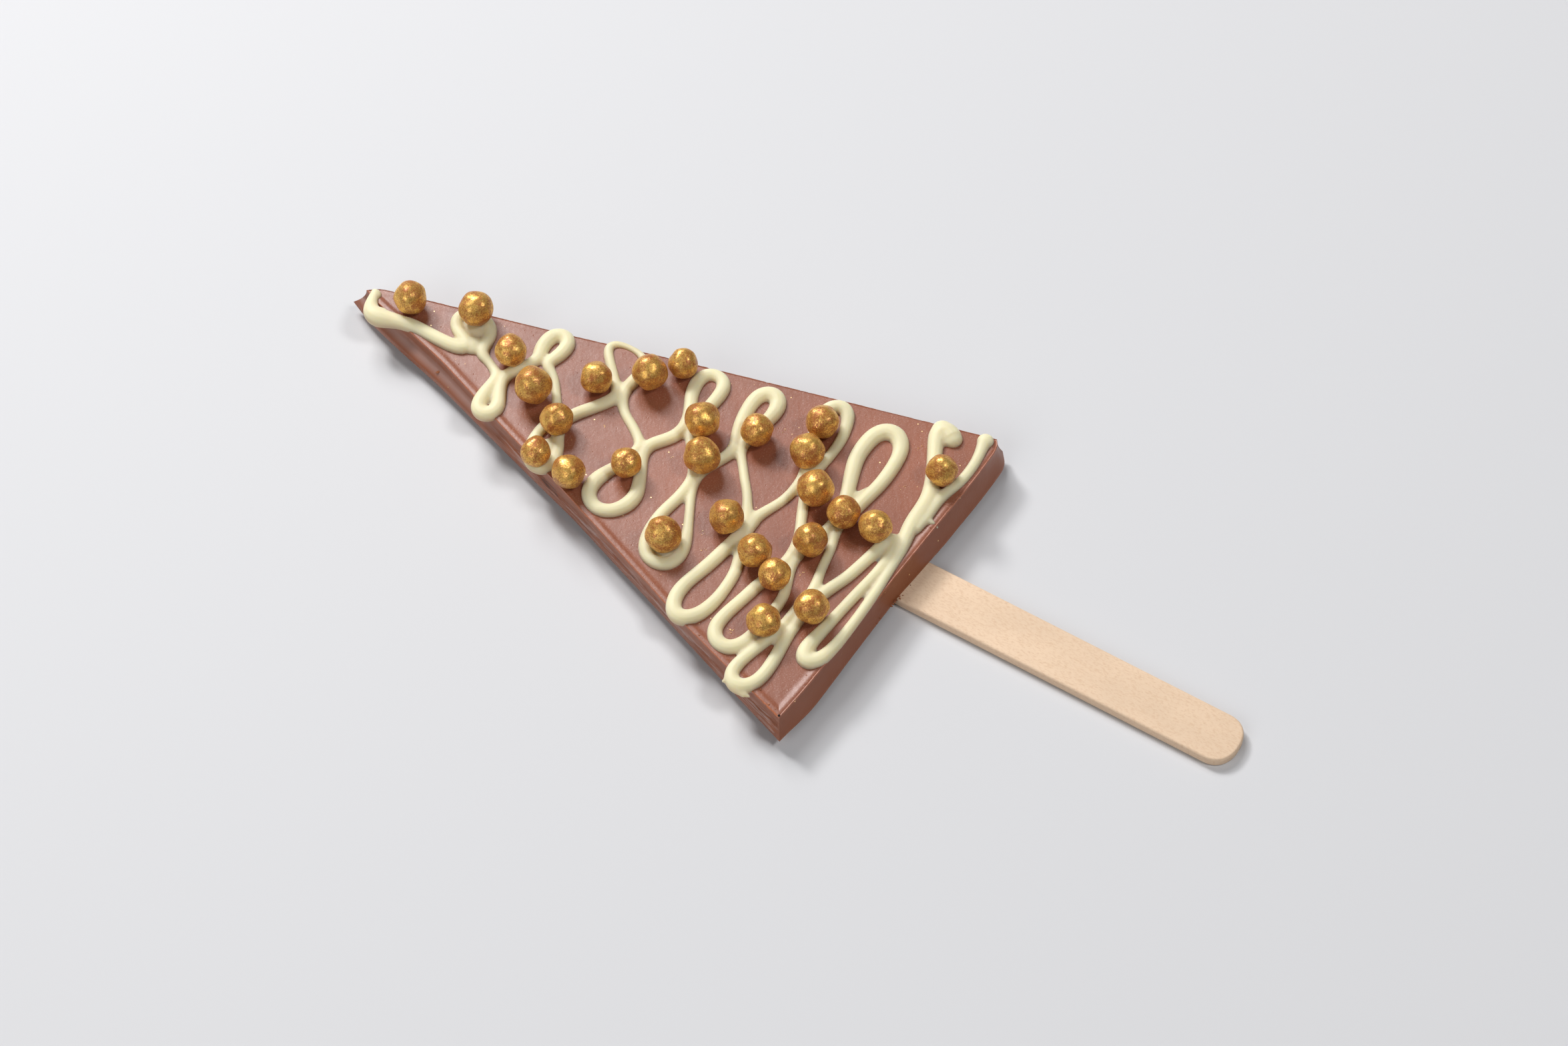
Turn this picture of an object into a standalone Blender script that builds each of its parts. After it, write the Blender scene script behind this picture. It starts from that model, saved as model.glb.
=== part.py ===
"""Chocolate lollipop: a tree-shaped slab of milk chocolate on a flat wooden stick, with a
looping line of piped white chocolate and large gold-lustre sugar pearls.

It lies on its stick, piped side up. X runs across the slab, Y from the stick's tip to the
apex, Z up. Lengths in the tables are millimetres, measured from the stick's centre line
(X) and from the foot of the tree (Y).
"""

import math
import random

import bmesh
import bpy

MM = 0.001
OBJECT_NAME = "chocolate_lollipop"
GAP = 0.3 * MM
WELD_DISTANCE = 0.001 * MM

# Stick
STICK_LENGTH = 114.0
STICK_WIDTH = 10.0
STICK_THICKNESS = 2.0
STICK_TIP_Y = -66.3
STICK_END_REACH = 4.4
STICK_END_POWER = 2.3
STICK_END_STEPS = 10
STICK_EDGE_ROUND = 0.35
STICK_EDGE_RESOLUTION = 1

# Slab
SLAB_THICKNESS = 5.5
STICK_SINK = 0.3
SLAB_EDGE_ROUND = 0.5
SLAB_EDGE_SEGMENTS = 2
SLAB_UNDERSIDE = STICK_THICKNESS - STICK_SINK
SLAB_TOP = SLAB_UNDERSIDE + SLAB_THICKNESS

# Upper edge of the hand-cut slab, counterclockwise: x, y, and how far the cut runs outwards below it
SLAB_OUTLINE = (
    (-39.3, 1.5, 1.6),
    (-32.0, 0.8, 1.9),
    (-18.0, 0.1, 1.5),
    (-4.0, -0.4, 1.3),
    (9.0, -1.0, 1.9),
    (22.0, -1.7, 1.8),
    (30.0, -1.7, 1.7),
    (31.2, -0.6, 1.4),
    (28.1, 11.5, 0.9),
    (23.2, 30.2, 0.7),
    (15.4, 59.8, 0.6),
    (10.8, 76.0, 0.7),
    (4.6, 99.4, 0.8),
    (0.8, 114.0, 1.0),
    (-0.9, 115.9, 1.8),
    (-2.2, 113.0, 1.7),
    (-4.5, 104.0, 1.9),
    (-7.1, 94.6, 1.8),
    (-13.9, 75.5, 1.2),
    (-20.5, 56.4, 0.7),
    (-27.2, 38.2, 0.5),
    (-31.8, 26.0, 0.2),
    (-36.2, 12.0, 1.0),
)

# Piped line: crossings of the line on its way down the tree
CROSSINGS = (
    (-1.3, 91.2),
    (-3.6, 83.0),
    (2.6, 79.2),
    (-7.2, 68.2),
    (4.4, 63.1),
    (-4.2, 52.6),
    (4.6, 48.5),
    (-3.5, 41.0),
    (5.4, 37.7),
    (-6.8, 27.9),
    (5.0, 24.6),
    (-9.3, 17.5),
    (1.5, 14.1),
    (-14.0, 9.8),
    (7.5, 2.8),
)

# At each crossing the line swings out round these turns and comes back: x, y and radius of
# each turn, positive where the line turns left, and the width of the line
LOOPS = (
    (((4.0, 94.5, -4.2),), 2.6),
    (((-11.0, 81.3, 2.3),), 2.8),
    (((7.8, 79.0, -3.0),), 2.5),
    (((-15.0, 67.1, 3.2),), 2.4),
    (((12.1, 64.5, 1.6), (12.1, 69.3, 1.5)), 2.2),
    (((-9.6, 50.3, -1.6), (-15.3, 51.6, -4.7)), 2.6),
    (((14.7, 49.7, 3.2),), 2.5),
    (((-13.0, 38.6, -1.2), (-19.8, 37.9, -4.7)), 2.5),
    (((16.9, 39.0, 3.1),), 2.5),
    (((-27.5, 27.0, 3.7),), 2.6),
    (((19.6, 26.7, 3.7),), 2.6),
    (((-20.0, 16.0, -2.2), (-28.4, 18.6, -3.5)), 2.6),
    (((10.0, 14.1, 1.6), (19.9, 15.8, 4.0)), 2.6),
    (((-34.8, 11.4, 2.8),), 2.6),
    (((-25.4, 3.2, 2.4),), 2.4),
)

# Width of the line between each crossing and the next
LINK_WIDTHS = (2.0, 2.6, 2.0, 2.4, 2.0, 2.2, 2.0, 2.2, 1.8, 2.2, 2.2, 2.2, 2.2, 2.2)

# Free ends of the line: turns as above, a radius of 0 being a plain point, and the width
FREE_ENDS = (
    (((0.3, 113.5, 0), (-3.4, 111.2, 1.6), (-3.1, 104.0, 0), (-3.2, 97.0, 0), (-1.3, 91.2, 0)), 2.5),
    (((7.5, 2.8, 0), (15.0, 3.6, 0), (28.0, 8.6, -1.6), (27.3, 6.5, 0)), 2.9),
    (((30.4, 0.8, 0), (24.0, -0.6, 0), (18.0, -0.2, 0), (7.5, 2.8, 0)), 2.3),
    (((9.3, 2.6, 0), (9.6, -0.2, 0), (9.2, -1.4, 0)), 1.4),
)
LINE_FLATNESS = 0.95
LINE_SINK = 0.12
LINE_STEP = 2.8
LINE_SMOOTHING = 2
LINE_SIDES_RESOLUTION = 2

# Drops of the line, against the line's own width and height: where two halves of a stretch
# meet, at a free end, and at a crossing
BEAD_RATIO = 1.1
CROSSING_WIDTH_RATIO = 1.45
CROSSING_HEIGHT_RATIO = 1.12
DROP_SEGMENTS = 10
DROP_RINGS = 8

# Sugar pearls: x, y and radius
PEARLS = (
    (0.1, 106.3, 3.1),
    (4.0, 94.2, 3.3),
    (-0.3, 83.5, 3.0),
    (-5.1, 75.3, 3.5),
    (-8.6, 67.7, 3.0),
    (-16.7, 66.8, 2.8),
    (-17.3, 59.3, 3.1),
    (2.9, 66.9, 3.0),
    (8.6, 59.1, 3.3),
    (13.9, 55.3, 2.8),
    (-10.1, 51.8, 2.8),
    (4.6, 45.2, 3.3),
    (-2.0, 41.0, 3.4),
    (-19.9, 37.5, 3.3),
    (8.2, 35.8, 3.0),
    (-10.7, 30.3, 3.2),
    (-14.2, 22.2, 3.1),
    (-16.7, 16.6, 2.9),
    (-25.6, 13.2, 3.0),
    (-19.1, 7.5, 3.1),
    (-7.0, 15.2, 3.1),
    (1.0, 13.3, 3.0),
    (1.5, 7.1, 3.0),
    (2.6, 20.2, 3.4),
    (8.9, 25.7, 3.2),
    (16.0, 26.9, 3.1),
    (18.1, 3.3, 2.9),
)
PEARL_SEGMENTS = 12
PEARL_RINGS = 7
PEARL_UNEVENNESS = 0.025
PEARL_SEED = 27
SOCKET_FLOOR = 0.08

# Colour, roughness and metallic value of each material
MATERIALS = {
    "milk_chocolate": ((0.135, 0.052, 0.034), 0.42, 0.0),
    "birch_wood": ((0.74, 0.52, 0.33), 0.60, 0.0),
    "gold_lustre": ((0.52, 0.31, 0.085), 0.34, 0.65),
}


def clear_scene():
    for obj in list(bpy.data.objects):
        bpy.data.objects.remove(obj, do_unlink=True)


def new_collection(name):
    collection = bpy.data.collections.new(name)
    bpy.context.scene.collection.children.link(collection)
    return collection


def new_material(name):
    colour, roughness, metallic = MATERIALS[name]
    material = bpy.data.materials.new(name)
    material.use_nodes = True
    shader = material.node_tree.nodes["Principled BSDF"]
    shader.inputs["Base Color"].default_value = (*colour, 1.0)
    shader.inputs["Roughness"].default_value = roughness
    shader.inputs["Metallic"].default_value = metallic
    material.diffuse_color = (*colour, 1.0)
    return material


def add_object(name, data, collection):
    obj = bpy.data.objects.new(name, data)
    collection.objects.link(obj)
    return obj


def as_mesh_object(curve_object, collection):
    """Replace a curve object by a mesh object whose caps are welded to its sides."""
    graph = bpy.context.evaluated_depsgraph_get()
    mesh = bpy.data.meshes.new_from_object(curve_object.evaluated_get(graph))
    name = curve_object.name
    matrix = curve_object.matrix_world.copy()
    bpy.data.objects.remove(curve_object, do_unlink=True)
    solid = add_object(name, mesh, collection)
    solid.matrix_world = matrix
    weld = bmesh.new()
    weld.from_mesh(mesh)
    bmesh.ops.remove_doubles(weld, verts=weld.verts, dist=WELD_DISTANCE)
    bmesh.ops.recalc_face_normals(weld, faces=weld.faces)
    weld.to_mesh(mesh)
    weld.free()
    return solid


def new_ball(name, radius, segments, rings, location, collection):
    shape = bmesh.new()
    bmesh.ops.create_uvsphere(shape, u_segments=segments, v_segments=rings, radius=radius)
    mesh = bpy.data.meshes.new(name)
    shape.to_mesh(mesh)
    shape.free()
    ball = add_object(name, mesh, collection)
    ball.location = location
    return ball


def boolean(target, operation, collection):
    """Apply one Boolean of a whole collection to the target and remove the collection's objects."""
    modifier = target.modifiers.new(operation.lower(), "BOOLEAN")
    modifier.operation = operation
    modifier.operand_type = "COLLECTION"
    modifier.collection = collection
    bpy.context.view_layer.update()
    graph = bpy.context.evaluated_depsgraph_get()
    result = bpy.data.meshes.new_from_object(target.evaluated_get(graph))
    target.modifiers.remove(modifier)
    target.data = result
    for helper in list(collection.objects):
        bpy.data.objects.remove(helper, do_unlink=True)
    bpy.data.collections.remove(collection)


# Stick


def stick_outline(clearance):
    """Flat outline of the stick with rounded ends, grown by the clearance, in millimetres."""
    half = STICK_WIDTH / 2 + clearance
    reach = STICK_END_REACH + clearance
    low = STICK_TIP_Y + STICK_END_REACH
    high = STICK_TIP_Y + STICK_LENGTH - STICK_END_REACH
    points = []
    for centre, turn in ((high, 0.0), (low, math.pi)):
        for step in range(STICK_END_STEPS + 1):
            angle = turn + math.pi * step / STICK_END_STEPS
            across = math.copysign(abs(math.cos(angle)) ** (2 / STICK_END_POWER), math.cos(angle))
            along = math.copysign(abs(math.sin(angle)) ** (2 / STICK_END_POWER), math.sin(angle))
            points.append((half * across, centre + reach * along))
    return points


def flat_curve(name, outline, low, high, edge_round, collection):
    """A flat outline extruded from one height to the other, with rounded edges."""
    curve = bpy.data.curves.new(name, "CURVE")
    curve.dimensions = "2D"
    curve.fill_mode = "BOTH"
    spline = curve.splines.new("POLY")
    spline.points.add(len(outline) - 1)
    for point, (x, y) in zip(spline.points, outline):
        point.co = (x * MM, y * MM, 0, 1)
    spline.use_cyclic_u = True
    curve.offset = -edge_round * MM
    curve.extrude = ((high - low) / 2 - edge_round) * MM
    curve.bevel_depth = edge_round * MM
    curve.bevel_resolution = STICK_EDGE_RESOLUTION
    obj = add_object(name, curve, collection)
    obj.location.z = (low + high) / 2 * MM
    bpy.context.view_layer.update()
    return as_mesh_object(obj, collection)


def make_stick(parts):
    stick = flat_curve("stick", stick_outline(0), 0, STICK_THICKNESS, STICK_EDGE_ROUND, parts)
    stick.data.materials.append(new_material("birch_wood"))
    return stick


# Slab


def foot_outline():
    """Where each cut side of the slab meets the underside, in millimetres."""
    feet = []
    count = len(SLAB_OUTLINE)
    for index, (x, y, flare) in enumerate(SLAB_OUTLINE):
        normals = []
        for start in (index - 1, index):
            ax, ay, _ = SLAB_OUTLINE[start % count]
            bx, by, _ = SLAB_OUTLINE[(start + 1) % count]
            length = math.hypot(bx - ax, by - ay)
            normals.append(((by - ay) / length, (ax - bx) / length))
        across = normals[0][0] + normals[1][0]
        along = normals[0][1] + normals[1][1]
        mitre = flare / (1 + normals[0][0] * normals[1][0] + normals[0][1] * normals[1][1])
        feet.append((x + across * mitre, y + along * mitre))
    return feet


def make_slab(parts):
    """The bare slab: its top outline extruded down to the wider outline of the underside."""
    shape = bmesh.new()
    rim = [shape.verts.new((x * MM, y * MM, SLAB_TOP * MM)) for x, y, _ in SLAB_OUTLINE]
    top = shape.faces.new(rim)
    grown = bmesh.ops.extrude_face_region(shape, geom=[top], use_keep_orig=True)
    under = [item for item in grown["geom"] if isinstance(item, bmesh.types.BMVert)]
    feet = {}
    for (x, y, _), foot in zip(SLAB_OUTLINE, foot_outline()):
        feet[(round(x * MM, 6), round(y * MM, 6))] = foot
    for vert in under:
        x, y = feet[(round(vert.co.x, 6), round(vert.co.y, 6))]
        vert.co = (x * MM, y * MM, SLAB_UNDERSIDE * MM)
    bmesh.ops.recalc_face_normals(shape, faces=shape.faces)
    upper_edges = [edge for edge in shape.edges if all(v.co.z > SLAB_TOP * MM - GAP for v in edge.verts)]
    bmesh.ops.bevel(
        shape,
        geom=upper_edges,
        offset=SLAB_EDGE_ROUND * MM,
        segments=SLAB_EDGE_SEGMENTS,
        profile=0.5,
        affect="EDGES",
    )
    bmesh.ops.triangulate(shape, faces=shape.faces)
    mesh = bpy.data.meshes.new("chocolate_slab")
    shape.to_mesh(mesh)
    shape.free()
    slab = add_object("chocolate_slab", mesh, parts)
    slab.data.materials.append(new_material("milk_chocolate"))
    return slab


def cut_stick_channel(slab):
    """The shallow bed that the stick is pressed into, a small gap clear of it."""
    cutters = new_collection("stick_channel")
    clearance = GAP / MM
    top = STICK_THICKNESS + clearance
    low = SLAB_UNDERSIDE - SLAB_THICKNESS
    flat_curve("stick_bed", stick_outline(clearance), low, top, 0, cutters)
    boolean(slab, "DIFFERENCE", cutters)


# Piped line


def tangent(start, end):
    """Ends of the straight stretch that leaves one turn and meets the next."""
    ax, ay, a_radius = start
    bx, by, b_radius = end
    length = math.hypot(bx - ax, by - ay)
    lean = max(-1.0, min(1.0, (b_radius - a_radius) / length))
    heading = math.atan2(by - ay, bx - ax) + math.asin(lean)
    across = (math.sin(heading), -math.cos(heading))
    leaves = (ax + a_radius * across[0], ay + a_radius * across[1])
    meets = (bx + b_radius * across[0], by + b_radius * across[1])
    return leaves, meets


def arc(turn, first, last):
    """Points round one turn, from where the line meets it to where the line leaves it."""
    x, y, radius = turn
    if radius == 0:
        return [(x, y)]
    begin = math.atan2(first[1] - y, first[0] - x)
    sweep = math.atan2(last[1] - y, last[0] - x) - begin
    full = math.copysign(2 * math.pi, radius)
    if sweep * radius < 0:
        sweep += full
    count = max(2, math.ceil(abs(sweep * radius)))
    size = abs(radius)
    angles = [begin + sweep * step / count for step in range(count + 1)]
    return [(x + size * math.cos(angle), y + size * math.sin(angle)) for angle in angles]


def even_points(points):
    """The same line with its points at even distances."""
    lengths = [math.dist(a, b) for a, b in zip(points, points[1:])]
    total = sum(lengths)
    count = max(3, round(total / LINE_STEP))
    spaced = []
    stretch = 0
    passed = 0.0
    for step in range(count + 1):
        wanted = total * step / count
        while stretch < len(lengths) - 1 and passed + lengths[stretch] < wanted:
            passed += lengths[stretch]
            stretch += 1
        share = (wanted - passed) / lengths[stretch]
        (ax, ay), (bx, by) = points[stretch], points[stretch + 1]
        spaced.append((ax + (bx - ax) * share, ay + (by - ay) * share))
    return spaced


def line_route(turns):
    """The soft line that a piping bag lays round the turns, in millimetres."""
    stretches = [tangent(a, b) for a, b in zip(turns, turns[1:])]
    points = [turns[0][:2]]
    for index in range(1, len(turns) - 1):
        points += arc(turns[index], stretches[index - 1][1], stretches[index][0])
    points.append(turns[-1][:2])
    points = even_points(points)
    for _ in range(LINE_SMOOTHING):
        inner = zip(points, points[1:], points[2:])
        middle = [((a[0] + 2 * b[0] + c[0]) / 4, (a[1] + 2 * b[1] + c[1]) / 4) for a, b, c in inner]
        points = [points[0], *middle, points[-1]]
    return points


def lay_line(points, width, collection):
    """One stretch of piped line: a flattened tube half sunk in the slab."""
    curve = bpy.data.curves.new("piped_line", "CURVE")
    curve.dimensions = "3D"
    curve.fill_mode = "FULL"
    curve.use_fill_caps = True
    curve.bevel_depth = width / 2 * MM
    curve.bevel_resolution = LINE_SIDES_RESOLUTION
    curve.twist_mode = "Z_UP"
    spline = curve.splines.new("POLY")
    spline.points.add(len(points) - 1)
    for point, (x, y) in zip(spline.points, points):
        point.co = (x * MM, y * MM, 0, 1)
    obj = add_object("piped_line", curve, collection)
    obj.location.z = (SLAB_TOP - LINE_SINK) * MM
    obj.scale.z = LINE_FLATNESS
    bpy.context.view_layer.update()
    return as_mesh_object(obj, collection)


def lay_drop(point, width, height, collection):
    """A flattened drop where stretches of the line meet or end."""
    location = (point[0] * MM, point[1] * MM, (SLAB_TOP - LINE_SINK) * MM)
    drop = new_ball("piped_drop", width / 2 * MM, DROP_SEGMENTS, DROP_RINGS, location, collection)
    drop.scale.z = LINE_FLATNESS * height / width


def lay_stretch(turns, width, collection):
    """Pipe one stretch in two halves, so that a loop never crosses itself within one tube."""
    points = line_route(turns)
    middle = len(points) // 2
    lay_line(points[: middle + 1], width, collection)
    lay_line(points[middle:], width, collection)
    lay_drop(points[middle], width * BEAD_RATIO, width * BEAD_RATIO, collection)


def pipe_line(slab):
    """Fuse the whole piped line to the slab."""
    line = new_collection("piped_line_pieces")
    for (x, y), (turns, width) in zip(CROSSINGS, LOOPS):
        crossing = (x, y, 0)
        lay_stretch((crossing, *turns, crossing), width, line)
        lay_drop(crossing, width * CROSSING_WIDTH_RATIO, width * CROSSING_HEIGHT_RATIO, line)
    for start, end, width in zip(CROSSINGS, CROSSINGS[1:], LINK_WIDTHS):
        lay_stretch(((*start, 0), (*end, 0)), width, line)
    for turns, width in FREE_ENDS:
        lay_stretch(turns, width, line)
        for end in (turns[0], turns[-1]):
            lay_drop(end, width * BEAD_RATIO, width * BEAD_RATIO, line)
    boolean(slab, "UNION", line)


# Sugar pearls


def pearl_centre(x, y, radius):
    return (x * MM, y * MM, (SLAB_TOP + radius) * MM + GAP)


def press_sockets(slab):
    """Hollow the piped line round each pearl, a small gap clear of it and of the slab below."""
    sockets = new_collection("pearl_sockets")
    for x, y, radius in PEARLS:
        size = radius * (1 + PEARL_UNEVENNESS) * MM + GAP
        centre = pearl_centre(x, y, radius)
        socket = new_ball("pearl_socket", size, PEARL_SEGMENTS, PEARL_RINGS, centre, sockets)
        socket.scale.z = (radius * MM + GAP - SOCKET_FLOOR * MM) / size
    boolean(slab, "DIFFERENCE", sockets)


def drop_scraps(obj):
    """Keep only the largest body of the mesh."""
    shape = bmesh.new()
    shape.from_mesh(obj.data)
    left = set(shape.verts)
    bodies = []
    while left:
        front = [left.pop()]
        body = set(front)
        while front:
            vert = front.pop()
            near = {edge.other_vert(vert) for edge in vert.link_edges} - body
            body |= near
            left -= near
            front.extend(near)
        bodies.append(body)
    bodies.sort(key=len, reverse=True)
    scraps = [vert for body in bodies[1:] for vert in body]
    bmesh.ops.delete(shape, geom=scraps, context="VERTS")
    shape.to_mesh(obj.data)
    shape.free()


def make_pearls(parts):
    """Slightly uneven sugar balls, each a separate piece."""
    draw = random.Random(PEARL_SEED)
    gold = new_material("gold_lustre")
    for number, (x, y, radius) in enumerate(PEARLS, start=1):
        name = f"pearl_{number:02d}"
        centre = pearl_centre(x, y, radius)
        pearl = new_ball(name, radius * MM, PEARL_SEGMENTS, PEARL_RINGS, centre, parts)
        stretch = [1 + draw.uniform(-PEARL_UNEVENNESS, PEARL_UNEVENNESS) for _ in range(3)]
        stretch[2] = min(stretch[2], 1.0)
        pearl.scale = stretch
        pearl.data.shade_smooth()
        pearl.data.materials.append(gold)


def stand_on_origin(parts):
    """Put the middle of the footprint on the origin, with everything carried by one empty."""
    bpy.context.view_layer.update()
    corners = [obj.matrix_world @ vert.co for obj in parts.objects for vert in obj.data.vertices]
    carrier = bpy.data.objects.new(OBJECT_NAME, None)
    bpy.context.scene.collection.objects.link(carrier)
    for obj in parts.objects:
        obj.parent = carrier
    carrier.location.x = -(min(c.x for c in corners) + max(c.x for c in corners)) / 2
    carrier.location.y = -(min(c.y for c in corners) + max(c.y for c in corners)) / 2


def main():
    clear_scene()
    parts = new_collection(OBJECT_NAME)
    make_stick(parts)
    slab = make_slab(parts)
    cut_stick_channel(slab)
    pipe_line(slab)
    press_sockets(slab)
    drop_scraps(slab)
    make_pearls(parts)
    stand_on_origin(parts)


main()
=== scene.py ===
"""Looks of the chocolate lollipop: a hand-cut slab of milk chocolate, a looping line of piped
white chocolate, gold-lustre sugar pearls and a birch stick, on a pale stage.

Tables are in millimetres from the stick's centre line (x) and the foot of the tree (y).
"""

import math
import random
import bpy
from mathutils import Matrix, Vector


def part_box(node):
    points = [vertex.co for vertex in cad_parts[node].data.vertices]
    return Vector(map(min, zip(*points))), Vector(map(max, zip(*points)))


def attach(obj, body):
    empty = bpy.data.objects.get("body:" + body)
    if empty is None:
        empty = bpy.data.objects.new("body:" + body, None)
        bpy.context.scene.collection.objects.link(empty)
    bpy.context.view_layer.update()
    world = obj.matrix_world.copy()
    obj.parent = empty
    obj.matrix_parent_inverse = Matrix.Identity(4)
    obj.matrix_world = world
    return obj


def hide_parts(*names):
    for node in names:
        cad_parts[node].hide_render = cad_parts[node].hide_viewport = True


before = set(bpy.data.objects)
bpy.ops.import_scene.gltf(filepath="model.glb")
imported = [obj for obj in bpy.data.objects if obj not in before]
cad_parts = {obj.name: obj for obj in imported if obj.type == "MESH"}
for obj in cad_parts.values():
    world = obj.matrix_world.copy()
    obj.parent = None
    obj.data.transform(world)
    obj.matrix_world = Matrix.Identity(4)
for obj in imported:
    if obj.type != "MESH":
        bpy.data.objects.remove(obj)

from types import SimpleNamespace

import bmesh
import bpy
from bpy.props import FloatProperty, FloatVectorProperty, IntProperty, PointerProperty
from bpy.types import Operator, Panel, PropertyGroup
from mathutils import Vector, noise

bl_info = {
    "name": "Chocolate lollipop",
    "version": (1, 0, 0),
    "blender": (4, 5, 0),
    "location": "View3D > Sidebar > Lollipop",
    "description": "Builds a piped chocolate lollipop piece by piece",
    "category": "Object",
}

MM = 0.001
STICK_LOW, STICK_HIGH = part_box("stick")
STICK_TIP_Y = -66.3
STICK_LENGTH = (STICK_HIGH.y - STICK_LOW.y) / MM
STICK_WIDTH = (STICK_HIGH.x - STICK_LOW.x) / MM
STICK_TOP = STICK_HIGH.z / MM
AXIS_X = (STICK_LOW.x + STICK_HIGH.x) / 2
FOOT_Y = STICK_LOW.y - STICK_TIP_Y * MM
SLAB_LOW, SLAB_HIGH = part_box("chocolate_slab")
SLAB_UNDERSIDE = SLAB_LOW.z / MM
SLAB_THICKNESS = 5.5
SLAB_TOP = SLAB_UNDERSIDE + SLAB_THICKNESS

# Upper edge of the slab, counterclockwise: x, y, and how far the cut runs outwards below it
SLAB_OUTLINE = (
    (-39.3, 1.5, 1.0), (-32.0, 0.8, 1.6), (-18.0, 0.1, 1.1), (-4.0, -0.4, 1.0), (9.0, -1.0, 1.6),
    (22.0, -1.7, 1.6), (30.0, -1.7, 1.7), (31.2, -0.6, 1.4), (28.1, 11.5, 0.9), (23.2, 30.2, 0.7),
    (15.4, 59.8, 0.6), (10.8, 76.0, 0.7), (4.6, 99.4, 0.8), (0.8, 114.0, 1.0), (-0.9, 115.9, 1.8),
    (-2.2, 113.0, 1.7), (-4.5, 104.0, 1.9), (-7.1, 94.6, 1.8), (-13.9, 75.5, 1.0), (-20.5, 56.4, 0.3),
    (-27.2, 38.2, 0.0), (-31.8, 26.0, -0.1), (-36.2, 12.0, 0.4),
)

# The points of the outline where the base cut and the back cut end
BASE_CUT_END = 7
BACK_CUT_END = 14

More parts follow.
